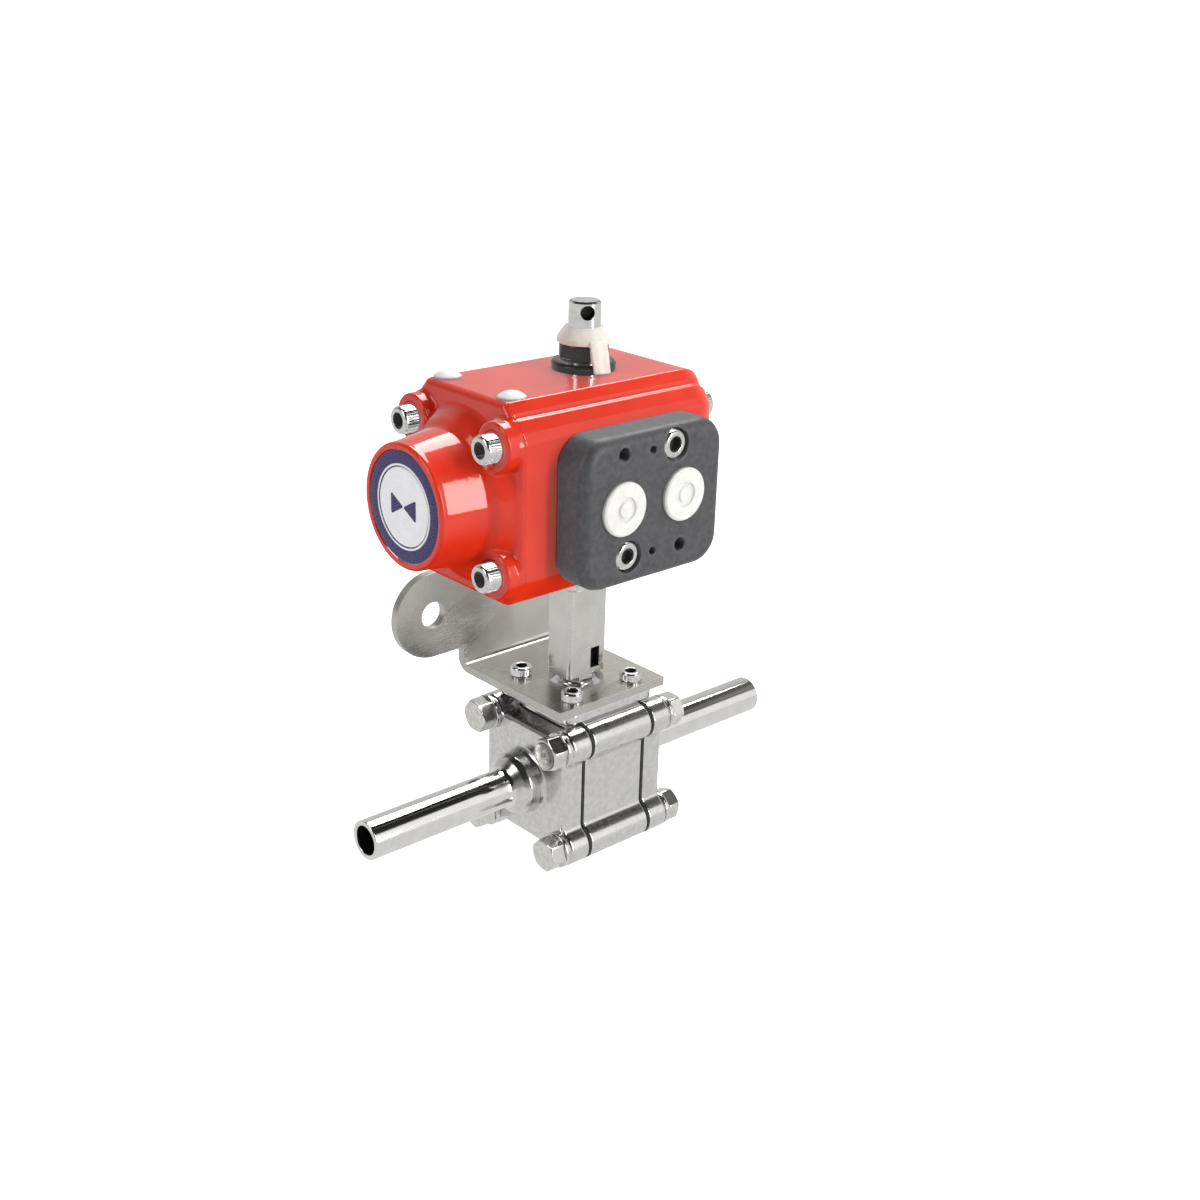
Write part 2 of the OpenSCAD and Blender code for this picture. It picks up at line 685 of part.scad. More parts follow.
// ---- position indicator on the shaft; outlines are radius, height above the housing ----
hub_r = spigot_r + 0.06;

module indicator_base() at_valve() color(black) on_top() rotate_extrude()
    polygon([[8.6, 0.12], [10, 0.12], [10, 2.3], [9.4, 2.9], [6.02, 2.9], [6.02, 2.3],
        [hub_r, 2.3], [hub_r, 2.14], [6.2, 2.14], [6.2, 1.8], [8.6, 1.8]]);
module indicator_drum() at_valve() color(black) on_top() difference() {
    union() {
        ring_z(7.6, hub_r, 3, 8.2);
        ring_z(5.9, hub_r, 2.4, 3.1);
    }
    // shallow viewing flats
    for (a = [0:90:270]) rotate([0, 0, a + 2]) box(7.05, 10, -2.8, 2.8, 3.9, 7.4);
}
module indicator_hood() at_valve() color(cream) on_top() {
    rotate_extrude() polygon([[hub_r, 8.25], [8.3, 8.25], [8.3, 9.9], [7, 11.8],
        [5.9, 13.4], [hub_r, 13.4]]);
    // skirt over one part of the turn
    rotate([0, 0, -118]) rotate_extrude(angle = 36)
        polygon([[7.75, 8.6], [7.75, 3.1], [10.1, 3.1], [10.1, 0.5], [11.7, 0.5],
            [8.9, 9.6], [8.2, 9.85], [7.75, 9.85]]);
}

// ---- air ports ----
gasket_t = 0.5;
port_back = -house_y - gasket_t;
port_x0 = port_x - 27;
port_x1 = port_x + 29;
port_z0 = axis_z - 24.5;
port_z1 = axis_z + 21.4;
port_edge_r = 3;      // rounding of the front edges
port_half = 12;       // half spacing of the two ports
passage_x = port_x - 22;    // left-hand air passage into the housing
air_r = 2.5;
port_seat_y = plate_face + 5.6;    // under the screw heads

module at_port_screws() {
    for (s = [-1, 1]) translate([port_x + 8.9 * s, 0, axis_z + 15.5 * s]) children();
}
module at_ports() {
    for (s = [-1, 1]) translate([port_x + port_half * s, 0, axis_z]) children();
}
module at_accessories() {
    for (y = [-acc_y, acc_y]) translate([acc_x, y, 0]) children();
}
module air_holes(y0, y1) {
    for (x = [port_x + port_half, passage_x]) ycyl(air_r, y0, y1, x, axis_z);
}
// plate with rounded corners and rounded front edges
module port_block() {
    r = port_edge_r;
    width = port_x1 - port_x0;
    height = port_z1 - port_z0;
    depth = port_back - plate_face;
    intersection() {
        sweep_y(plate_face, port_back) round_rect(port_x0, port_x1, port_z0, port_z1, 9);
        sweep_z(port_z0 - 1, port_z1 + 1) union() {
            translate([port_x0, plate_face + r]) square([width, depth - r]);
            translate([port_x0 + r, plate_face]) square([width - 2 * r, depth]);
            for (x = [port_x0 + r, port_x1 - r]) translate([x, plate_face + r]) circle(r = r);
        }
        sweep_x(port_x0 - 1, port_x1 + 1) union() {
            translate([plate_face + r, port_z0]) square([depth - r, height]);
            translate([plate_face, port_z0 + r]) square([depth, height - 2 * r]);
            for (z = [port_z0 + r, port_z1 - r]) translate([plate_face + r, z]) circle(r = r);
        }
    }
}
module port_plate() at_valve() color(dark) difference() {
    port_block();
    at_ports() ycyl(6.05, plate_face - 1, plate_face + 7.2);
    ycyl(air_r, plate_face, port_back + 1, port_x + port_half, axis_z);
    // fixing screws and their counterbores
    at_port_screws() {
        ycyl(4.9, plate_face - 1, port_seat_y);
        ycyl(clear_r, plate_face, port_back + 1);
    }
    // tapped holes for an accessory valve and its coding holes
    for (s = [-1, 1]) {
        ycyl(2.1, plate_face - 1, plate_face + 8, port_x - 12 * s, axis_z + 16 * s);
        ycyl(1.25, plate_face - 1, plate_face + 3, port_x - 0.6 * s, axis_z + 15.6 * s);
    }
    // exhaust channel on the back
    ycyl(air_r, plate_face + 6, port_back + 1, port_x - port_half, axis_z);
    box(passage_x, port_x - port_half, port_back - 1.5, port_back + 1, axis_z - 2, axis_z + 2);
}
module port_gasket() at_valve() color(black) difference() {
    sweep_y(port_back, -house_y)
        round_rect(port_x0 + 0.6, port_x1 - 0.6, port_z0 + 0.6, port_z1 - 0.6, 8.5);
    at_port_screws() ycyl(clear_r, port_back - 1, -house_y + 1);
    air_holes(port_back - 1, -house_y + 1);
}
module port_screws() at_valve() color(steel) at_port_screws()
    translate([0, port_seat_y, 0]) rotate([90, 0, 0]) socket_screw(head_h = 5, shank = 14.5);
module port_plugs() at_valve() color(white) at_ports() difference() {
    union() {
        ycyl(8.2, plate_face - 1.2, plate_face);
        ycyl(7.7, plate_face - 1.56, plate_face - 1.1);
        ycyl(6, plate_face - 1, plate_face + 7);
    }
    // ring groove in the face
    difference() {
        ycyl(3.6, plate_face - 3, plate_face - 0.9);
        ycyl(2.4, plate_face - 4, plate_face);
    }
    // hollow at the back
    ycyl(4.5, plate_face + 1.5, plate_face + 8);
}
module accessory_plugs() at_valve() color(white) at_accessories() on_top() {
    zcyl(tapped_r - 0.05, -5.5, 0.2);
    zcyl(3.4, 0, 0.6);
    // domed head
    intersection() {
        zcyl(4.3, 0.5, 2.3);
        translate([0, 0, -4.1]) sphere(r = 6.3);
    }
}

valve_body();
left_end_piece();
right_end_piece();
left_body_seal();
right_body_seal();
valve_ball();
left_seat();
right_seat();
valve_stem();
stem_thrust_seal();
stem_packing();
packing_gland();
gland_springs();
stem_nut();
body_bolts();
body_washers();
body_nuts();
mounting_bracket();
bracket_valve_screws();
bracket_housing_screws();
drive_coupling();
actuator_housing();
spring_cap();
flat_cap();
spring_cap_screws();
flat_cap_screws();
spring_cap_seal();
flat_cap_seal();
badge_ring();
badge_disc();
left_piston();
right_piston();
left_piston_seal();
right_piston_seal();
left_rack_guide();
right_rack_guide();
return_spring();
pinion();
upper_bearing();
lower_bearing();
upper_shaft_seal();
lower_shaft_seal();
thrust_washer();
retaining_ring();
indicator_base();
indicator_drum();
indicator_hood();
port_plate();
port_gasket();
port_screws();
port_plugs();
accessory_plugs();
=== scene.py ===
# A ball valve with a red actuator above it, joined by a folded bracket. The pipe and the
# actuator lie along X, the stem stands along Z. Left is -X, the front is -Y, and the camera
# looks down from the front left. Shapes are drawn in millimetres, with X measured from the
# middle of the valve body and Z from the frame's zero.
import json
import math
from functools import cached_property

import bmesh
import bpy
import numpy as np
from mathutils import Matrix, Vector

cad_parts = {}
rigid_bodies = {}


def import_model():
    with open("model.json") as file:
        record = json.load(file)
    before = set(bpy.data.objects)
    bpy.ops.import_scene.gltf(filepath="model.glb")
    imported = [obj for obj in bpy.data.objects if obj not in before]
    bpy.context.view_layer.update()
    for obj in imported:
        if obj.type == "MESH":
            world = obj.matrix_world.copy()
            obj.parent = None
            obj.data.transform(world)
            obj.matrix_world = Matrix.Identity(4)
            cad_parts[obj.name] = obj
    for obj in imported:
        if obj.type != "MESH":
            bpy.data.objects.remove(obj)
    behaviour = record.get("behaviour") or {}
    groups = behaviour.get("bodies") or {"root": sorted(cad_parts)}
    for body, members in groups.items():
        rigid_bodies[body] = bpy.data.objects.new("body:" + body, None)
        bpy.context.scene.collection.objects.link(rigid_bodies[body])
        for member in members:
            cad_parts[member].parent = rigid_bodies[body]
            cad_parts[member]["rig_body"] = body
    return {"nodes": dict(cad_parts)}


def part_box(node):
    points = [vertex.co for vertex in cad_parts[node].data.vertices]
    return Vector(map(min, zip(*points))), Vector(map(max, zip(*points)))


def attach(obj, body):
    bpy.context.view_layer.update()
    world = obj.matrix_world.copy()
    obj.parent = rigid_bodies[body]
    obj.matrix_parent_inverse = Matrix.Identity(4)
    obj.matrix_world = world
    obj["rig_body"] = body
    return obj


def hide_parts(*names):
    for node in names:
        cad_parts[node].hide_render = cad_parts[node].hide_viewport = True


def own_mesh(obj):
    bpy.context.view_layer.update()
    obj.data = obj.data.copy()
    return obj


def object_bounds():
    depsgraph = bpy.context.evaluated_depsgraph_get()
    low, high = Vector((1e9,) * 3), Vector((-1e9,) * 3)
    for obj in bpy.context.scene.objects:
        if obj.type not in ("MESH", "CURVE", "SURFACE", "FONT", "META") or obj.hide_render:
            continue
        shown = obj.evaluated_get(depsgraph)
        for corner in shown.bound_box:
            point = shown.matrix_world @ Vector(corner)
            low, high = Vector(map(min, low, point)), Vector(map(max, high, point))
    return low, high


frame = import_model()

CAD_LOW, CAD_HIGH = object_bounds()
NODES = frame["nodes"]
BODY_OF = {node: ob["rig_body"] for node, ob in NODES.items()}
MM = 0.001
CENTRE_X = float(sum(corner[0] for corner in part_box("valve_body")) * 500)
ORIGIN = np.array([CENTRE_X, 0, 0])
COARSE = 1.0        # scales most grid steps


# ------------------------------------------------------------------ positions
def to_mm(point):
    return np.array(point) * 1000 - ORIGIN


def box(node):
    """Low and high corner of a CAD node."""
    low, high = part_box(node)
    return to_mm(low), to_mm(high)


def islands(node):
    """Low and high corner of each separate solid of a CAD node."""
    work = bmesh.new()
    work.from_mesh(NODES[node].data)
    bmesh.ops.remove_doubles(work, verts=work.verts, dist=1e-6)
    seen, boxes = set(), []
    for first in work.verts:
        if first.index in seen:
            continue
        stack, points = [first], []
        seen.add(first.index)
        while stack:
            vert = stack.pop()
            points.append(vert.co[:])
            for edge in vert.link_edges:
                other = edge.other_vert(vert)
                if other.index not in seen:
                    seen.add(other.index)
                    stack.append(other)
        points = to_mm(points)
        boxes.append((points.min(0), points.max(0)))
    work.free()
    return sorted(boxes, key=lambda corners: tuple(np.round(corners[0], 2)))


def centres(node):
    return [(low + high) / 2 for low, high in islands(node)]


# ------------------------------------------------------------------ distance fields
def fuse(one, two, fillet):
    """Union with a concave fillet."""
    return (np.maximum(fillet, np.minimum(one, two))
            - np.hypot(np.maximum(fillet - one, 0), np.maximum(fillet - two, 0)))


def meet(one, two, edge=0.0):
    """Intersection with a convex edge radius."""
    if edge <= 0:
        return np.maximum(one, two)
    return (np.minimum(-edge, np.maximum(one, two))
            + np.hypot(np.maximum(edge + one, 0), np.maximum(edge + two, 0)))


def cut(one, two, edge):
    """The first form without the second."""
    return meet(one, -two, edge)


def slab(x, low, high):
    return np.abs(x - (low + high) / 2) - (high - low) / 2


def rounded_rect(x, y, low, high, radius):
    """Rectangle between two corner points, with rounded corners."""
    over_x = np.abs(x - (low[0] + high[0]) / 2) - ((high[0] - low[0]) / 2 - radius)
    over_y = np.abs(y - (low[1] + high[1]) / 2) - ((high[1] - low[1]) / 2 - radius)
    outside = np.hypot(np.maximum(over_x, 0), np.maximum(over_y, 0))
    return outside + np.minimum(np.maximum(over_x, over_y), 0) - radius


def polygon(corners, x, y):
    """Signed distance to a closed outline."""
    x, y = np.broadcast_arrays(np.asarray(x, float), np.asarray(y, float))
    nearest = np.full(x.shape, 1e9)
    sign = np.ones(x.shape)
    for i, here in enumerate(corners):
        last = corners[i - 1]
        edge_x, edge_y = last[0] - here[0], last[1] - here[1]
        length_squared = edge_x * edge_x + edge_y * edge_y
        if length_squared < 1e-12:
            continue
        off_x, off_y = x - here[0], y - here[1]
        along = np.clip((off_x * edge_x + off_y * edge_y) / length_squared, 0, 1)
        nearest = np.minimum(nearest, (off_x - edge_x * along) ** 2 + (off_y - edge_y * along) ** 2)
        above, below, left = y >= here[1], y < last[1], edge_x * off_y > edge_y * off_x
        crossed = (above & below & left) | (~above & ~below & ~left)
        sign = np.where(crossed, -sign, sign)
    return sign * np.sqrt(nearest)


def rounded(corners, segments=7):
    """Outline of (across, up, corner radius) with each corner turned into an arc."""
    outline, count = [], len(corners)
    for i in range(count):
        radius = corners[i][2]
        corner, before, after = (np.array(corners[j][:2], float)
                                 for j in (i, i - 1, (i + 1) % count))
        to_before, to_after = before - corner, after - corner
        length_before, length_after = np.linalg.norm(to_before), np.linalg.norm(to_after)
        if radius <= 0 or length_before < 1e-9 or length_after < 1e-9:
            outline.append(tuple(corner))
            continue
        to_before, to_after = to_before / length_before, to_after / length_after
        angle = math.acos(max(-1, min(1, float(to_before @ to_after))))
        if angle > math.pi - 0.02 or angle < 0.02:
            outline.append(tuple(corner))
            continue
        setback = min(radius / math.tan(angle / 2), 0.49 * length_before, 0.49 * length_after)
        radius = setback * math.tan(angle / 2)
        inward = (to_before + to_after) / np.linalg.norm(to_before + to_after)
        centre = corner + inward * radius / math.sin(angle / 2)
        start = corner + to_before * setback - centre
        end = corner + to_after * setback - centre
        first = math.atan2(start[1], start[0])
        sweep = math.atan2(start[0] * end[1] - start[1] * end[0], float(start @ end))
        for j in range(segments + 1):
            turn = first + sweep * j / segments
            outline.append((centre[0] + radius * math.cos(turn),
                            centre[1] + radius * math.sin(turn)))
    return outline


def grid(low, high, step, fine=()):
    """Grid lines, closer together in the fine zones (centre, half width, step)."""
    lines, x = [low], low
    while x < high:
        size = step
        for centre, half, small in fine:
            start = centre - half
            if start - size <= x <= centre + half:
                size = min(size, small if x >= start - small else max(small, start - x))
        x += size
        lines.append(x)
    return np.array(lines)


CELL = [(i, j, k) for i in (0, 1) for j in (0, 1) for k in (0, 1)]
CELL_EDGES = [(one, two) for one in CELL for two in CELL
              if sum(two) - sum(one) == 1 and sum(abs(i - j) for i, j in zip(one, two)) == 1]
SLOPE_STEP = 0.03


def field_mesh(field, *lines):
    """Closed quad mesh of field < 0 on a grid, with its points moved onto the surface.

    Returns points, quads and normals."""
    values = field(lines[0][:, None, None], lines[1][None, :, None], lines[2][None, None, :])
    values = np.ascontiguousarray(np.broadcast_to(values, tuple(len(line) for line in lines)))
    # the small offset keeps grid points off the surface itself
    values = values.astype(np.float32) + np.float32(1.3e-6)
    solid = values < 0
    size = solid.shape
    filled = sum(solid[i:size[0] - 1 + i, j:size[1] - 1 + j, k:size[2] - 1 + k].astype(np.int8)
                 for i, j, k in CELL)
    active = (filled > 0) & (filled < 8)
    cells = np.argwhere(active)
    number = np.full(active.shape, -1, np.int64)
    number[active] = np.arange(len(cells))

    # each cell's point starts at the mean of its edge crossings
    total, count = np.zeros((len(cells), 3)), np.zeros(len(cells))
    for one, two in CELL_EDGES:
        at_one, at_two = (values[tuple((cells + end).T)].astype(float) for end in (one, two))
        crossed = (at_one < 0) != (at_two < 0)
        share = (at_one[crossed] / (at_one[crossed] - at_two[crossed]))[:, None]
        total[crossed] += np.array(one) + (np.array(two) - np.array(one)) * share
        count[crossed] += 1
    place_in_grid = cells + total / count[:, None]
    points = np.stack([np.interp(place_in_grid[:, i], np.arange(len(lines[i])), lines[i])
                       for i in range(3)], 1)
    cell_size = np.stack([np.diff(lines[i])[cells[:, i]] for i in range(3)], 1)

    def distance(at):
        return np.asarray(field(at[:, 0], at[:, 1], at[:, 2]), float)

    def slope(at):
        return np.stack([(distance(at + axis) - distance(at - axis)) / (2 * SLOPE_STEP)
                         for axis in np.eye(3) * SLOPE_STEP], 1)

    start = points.copy()
    for _ in range(3):
        off, lean = distance(points), slope(points)
        steepness = np.maximum((lean * lean).sum(1), 0.2)
        points = points - lean * (off / steepness)[:, None]
        points = np.clip(points, start - 0.8 * cell_size, start + 0.8 * cell_size)
    normals = slope(points)
    normals /= np.maximum(np.linalg.norm(normals, axis=1), 1e-9)[:, None]

    quads = []
    for axis in range(3):
        near = [slice(1, length - 1) for length in size]
        far = list(near)
        near[axis], far[axis] = slice(0, size[axis] - 1), slice(1, size[axis])
        here, there = solid[tuple(near)], solid[tuple(far)]
        for leaving, flip in ((here & ~there, False), (there & ~here, True)):
            edges = np.argwhere(leaving)
            if not len(edges):
                continue
            offset = np.ones(3, int)
            offset[axis] = 0
            edges = edges + offset
            ring = []
            for shift_one, shift_two in ((-1, -1), (0, -1), (0, 0), (-1, 0)):
                cell = edges.copy()
                cell[:, (axis + 1) % 3] += shift_one
                cell[:, (axis + 2) % 3] += shift_two
                ring.append(number[cell[:, 0], cell[:, 1], cell[:, 2]])
            quad = np.stack(ring, 1)
            quads.append(quad[:, ::-1] if flip else quad)
    return points, np.concatenate(quads).tolist(), normals


# ------------------------------------------------------------------ objects
def add_object(name, data):
    ob = bpy.data.objects.new(name, data)
    bpy.context.scene.collection.objects.link(ob)
    return ob


def settle(ob, node):
    """Puts an object on its CAD node's body and hides the node."""
    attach(ob, BODY_OF[node])
    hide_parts(node)


def make_mesh(name, solid):
    points, faces = solid
    mesh = bpy.data.meshes.new(name)
    mesh.from_pydata(((np.asarray(points, float) + ORIGIN) * MM).tolist(), [], faces)
    mesh.validate()
    mesh.update()
    return mesh


def smooth(mesh, angle):
    """Smooth shading with sharp edges above an angle in degrees."""
    mesh.shade_smooth()
    mesh.set_sharp_from_angle(angle=math.radians(angle))


def piece(name, solid, node, finish, normals=None):
    """Object that stands for a CAD node, from (points, faces)."""
    mesh = make_mesh(name, solid)
    if normals is None:
        smooth(mesh, angle=35)
    else:
        mesh.shade_smooth()
        mesh.normals_split_custom_set_from_vertices(normals.tolist())
    ob = add_object(name, mesh)
    mesh.materials.append(MAT[finish])
    settle(ob, node)
    return ob


def casting(name, node, finish, field, *lines):
    """Piece made from a distance field on a grid."""
    points, quads, normals = field_mesh(field, *lines)
    piece(name, (points, quads), node, finish, normals)


def free_piece(name, solid, body, finish):
    """Extra object with no CAD node of its own."""
    mesh = make_mesh(name, solid)
    work = bmesh.new()
    work.from_mesh(mesh)
    bmesh.ops.recalc_face_normals(work, faces=work.faces)
    work.to_mesh(mesh)
    work.free()
    smooth(mesh, angle=35)
    ob = add_object(name, mesh)
    mesh.materials.append(MAT[finish])
    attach(ob, body)


def broken_edges(node, name, finish, width, segments=3):
    """Copy of a CAD node's mesh with its edges broken by a bevel."""
    mesh = NODES[node].data.copy()
    mesh.name = name
    ob = add_object(name, mesh)
    work = bmesh.new()
    work.from_mesh(mesh)
    bmesh.ops.remove_doubles(work, verts=work.verts, dist=2e-6)
    bmesh.ops.dissolve_limit(work, angle_limit=math.radians(0.6),
                             verts=work.verts, edges=work.edges)
    work.to_mesh(mesh)
    work.free()
    if "custom_normal" in mesh.attributes:
        mesh.attributes.remove(mesh.attributes["custom_normal"])
    smooth(mesh, angle=32)
    bevel = ob.modifiers.new("edge_break", "BEVEL")
    bevel.width = width * MM
    bevel.segments = segments
    bevel.limit_method = "ANGLE"
    bevel.angle_limit = math.radians(30)
    bevel.harden_normals = True
    bevel.miter_outer = "MITER_ARC"
    bevel.use_clamp_overlap = True
    mesh.materials.clear()
    mesh.materials.append(MAT[finish])
    settle(ob, node)
    return ob


def second_finish(ob, finish, belongs):
    """Gives the faces picked by belongs(centre, normal z) another material."""
    ob.data.materials.append(MAT[finish])
    for face in ob.data.polygons:
        if belongs(to_mm(face.center), face.normal.z):
            face.material_index = 1


def join(parts):
    """One (points, faces) from several."""
    all_points, all_faces, count = [], [], 0
    for points, faces in parts:
        all_points.append(np.asarray(points, float))
        all_faces += [tuple(i + count for i in face) for face in faces]
        count += len(points)
    return np.concatenate(all_points), all_faces


# ------------------------------------------------------------------ turned parts
def angles(sides):
    return np.arange(sides) * 2 * math.pi / sides


def rings_of(outline):
    """Rings (z, radius) of an outline of (radius, z), without its points on the axis."""
    return [(z, radius) for radius, z in outline if radius > 0.02]


def revolve(rings, sides=96, hollow=False):
    """Points and faces of rings (z, radius or radii per angle).

    A hollow part joins its last ring to its first. A solid one ends in a point at both ends."""
    turn = angles(sides)
    points, faces, count = [], [], len(rings)
    for z, radius in rings:
        points.append(np.stack([radius * np.cos(turn), radius * np.sin(turn),
                                np.full(sides, float(z))], 1))
    pairs = [(j, (j + 1) % sides) for j in range(sides)]
    for i in range(count if hollow else count - 1):
        low, high = i * sides, (i + 1) % count * sides
        faces += [(low + j, low + k, high + k, high + j) for j, k in pairs]
    if not hollow:
        points.append([[0, 0, rings[0][0]], [0, 0, rings[-1][0]]])
        tip, last = count * sides, (count - 1) * sides
        for j, k in pairs:
            faces.append((tip, k, j))
            faces.append((tip + 1, last + j, last + k))
    return np.concatenate(points), faces


def place(solid, at, axis, turn=0.0):
    """Moves a part drawn along +Z to a point, along an axis."""
    points, faces = solid
    tilt = Vector((0, 0, 1)).rotation_difference(Vector(axis)).to_matrix()
    tilt = tilt @ Matrix.Rotation(math.radians(turn), 3, "Z")
    return points @ np.array(tilt).T + np.array(at, float), faces


HEAD_SIDES = 144
COS_30 = math.cos(math.pi / 6)
TAN_30 = math.tan(math.radians(30))
CHAMFER_STEPS = (0, .12, .25, .4, .55, .7, .85, 1)


def hex_radii(across_flats, trim):
    """Radii of a hexagon whose corners are trimmed to a share of their reach."""
    from_flat = np.radians((np.arange(HEAD_SIDES) * 360.0 / HEAD_SIDES % 60) - 30)
    return np.minimum(across_flats / 2 / np.cos(from_flat), across_flats / 2 / COS_30 * trim)


def hex_sides(across_flats, height, chamfer_bottom=False):
    """Rings of a hexagon standing on z = 0, and the radius where its chamfer starts."""
    hexagon = hex_radii(across_flats, 0.985)
    inner = across_flats / 2 * 0.955
    drop = (across_flats / 2 / COS_30 - inner) * TAN_30
    chamfer = [(drop * t, np.minimum(hexagon, inner + drop * t / TAN_30)) for t in CHAMFER_STEPS]
    if chamfer_bottom:
        rings = list(chamfer)
    else:
        rings = [(0.0, inner - 0.15), (0.0, inner), (0.12, np.minimum(hexagon, inner + 0.1)),
                 (0.2, hexagon)]
    return rings + [(height - z, radii) for z, radii in chamfer[::-1]], inner


def hex_head(across_flats, height, dish=0.25):
    """Bolt head with a dished top."""
    rings, inner = hex_sides(across_flats, height)
    rings += [(height, inner * 0.97), (height - dish * 0.25, inner * 0.86),
              (height - dish, inner * 0.7), (height - dish, inner * 0.3)]
    return revolve(rings, HEAD_SIDES)


def hex_nut(across_flats, height):
    """Nut chamfered at both ends, with a smooth bore."""
    rings, inner = hex_sides(across_flats, height, chamfer_bottom=True)
    rings += [(height, inner * 0.95), (height, 3.35), (height - 0.25, 3.05), (height - 1, 2.98),
              (1.0, 2.98), (0.25, 3.05), (0.0, 3.35)]
    return revolve(rings, HEAD_SIDES, hollow=True)


def thread(turns, radius, depth, sides):
    """Radii of a thread at a height given in pitches."""
    return radius - depth * (np.abs(((turns - angles(sides) / 2 / math.pi) % 1) - 0.5) * 2)


SHANK_RADIUS = 2.45
SHANK_PITCH = 0.8
SHANK_SIDES = 24
SOCKET_DEPTH = 0.55        # share of the head's height
SOCKET_RING = 13           # first ring of the socket, counted from 0
HEAD_BANDS = 17            # bands of faces between the head's 18 rings


def socket_head(radius, height, key, knurls):
    """Cap screw head, from its under face up and down into the hexagon socket."""
    knurled = radius - 0.11 * (0.5 + 0.5 * np.cos(knurls * angles(HEAD_SIDES)))
    socket = hex_radii(key, 0.97)
    rim = key / 2 / COS_30 + 0.18
    bottom = height * (1 - SOCKET_DEPTH)
    return revolve([
        (0.0, radius - 0.45), (0.0, radius - 0.25), (0.12, radius - 0.1), (0.3, radius - 0.05),
        (0.45, knurled), (height - 1.0, knurled),
        (height - 0.8, radius - 0.06), (height - 0.55, radius - 0.1),
        (height - 0.36, radius - 0.2), (height - 0.16, radius - 0.4),
        (height - 0.04, radius - 0.66), (height, radius - 0.85),
        (height, rim + 0.12), (height - 0.05, rim), (height - 0.3, socket),
        (bottom + 0.05, socket), (bottom, socket * 0.97), (bottom - 0.35, socket * 0.35),
    ], HEAD_SIDES)


def threaded_shank(length):
    rings = [(0.4, SHANK_RADIUS * 0.96)]
    z = 0.0
    while z > -length + 0.6:
        rings.append((z, thread(z / SHANK_PITCH, SHANK_RADIUS, depth=0.22, sides=SHANK_SIDES)))
        z -= SHANK_PITCH / 4
    rings += [(-length + 0.4, SHANK_RADIUS - 0.3), (-length, SHANK_RADIUS - 0.6)]
    return revolve(rings[::-1], SHANK_SIDES)


def socket_screws(name, node, axis, radius, height, key, length, first_turn, turn_step,
                  seat=None, knurls=36):
    """A node's socket screws as one piece, with shade painted near black down inside the sockets.

    The seat is the under face of the heads on the screws' axis. Without one, the heads
    end where the CAD screws do."""
    screw = join([socket_head(radius, height, key, knurls), threaded_shank(length)])
    along = int(np.flatnonzero(axis)[0])
    parts = []
    for i, (low, high) in enumerate(islands(node)):
        at = (low + high) / 2
        end = high if axis[along] > 0 else low
        at[along] = end[along] - axis[along] * height if seat is None else seat
        parts.append(place(screw, at, axis, first_turn + turn_step * i))
    ob = piece(name, join(parts), node, "bolt_stainless")
    ob.data.materials.append(MAT["dark_oxide"])
    face = np.arange(len(screw[1]))
    band = face // HEAD_SIDES
    # the head's two end fans follow its bands, with their triangles taking turns
    socket_floor = (band >= HEAD_BANDS) & (band < HEAD_BANDS + 2) & (face % 2 == 1)
    # painted shade: the socket walls and floor take the near-black second finish
    dark = ((band >= SOCKET_RING) & (band < HEAD_BANDS)) | socket_floor
    dark = np.tile(dark, len(parts)).astype(np.int32)
    # face numbers only hold if the mesh's validation dropped no face
    if len(dark) == len(ob.data.polygons):
        ob.data.polygons.foreach_set("material_index", dark)


# ------------------------------------------------------------------ shader trees
class Tree:
    """Node tree of a material or world, emptied."""

    def __init__(self, owner):
        owner.use_nodes = True
        self.tree = owner.node_tree
        self.tree.nodes.clear()

    def feed(self, socket, value):
        """Links an output to a socket, or sets the socket to a plain value."""
        if hasattr(value, "is_output"):
            self.tree.links.new(value, socket)
        else:
            socket.default_value = value

    def add(self, kind, inputs=None, **settings):
        node = self.tree.nodes.new("ShaderNode" + kind)
        for key, value in settings.items():
            setattr(node, key, value)
        for key, value in (inputs or {}).items():
            self.feed(node.inputs[key], value)
        return node

    def math(self, operation, one, two):
        return self.add("Math", {0: one, 1: two}, operation=operation).outputs[0]

    def span(self, value, to=(0.0, 1.0), between=(0.0, 1.0), **settings):
        """Maps the values between two numbers to the range `to`."""
        inputs = {0: value, 1: between[0], 2: between[1], 3: to[0], 4: to[1]}
        return self.add("MapRange", inputs, **settings).outputs[0]


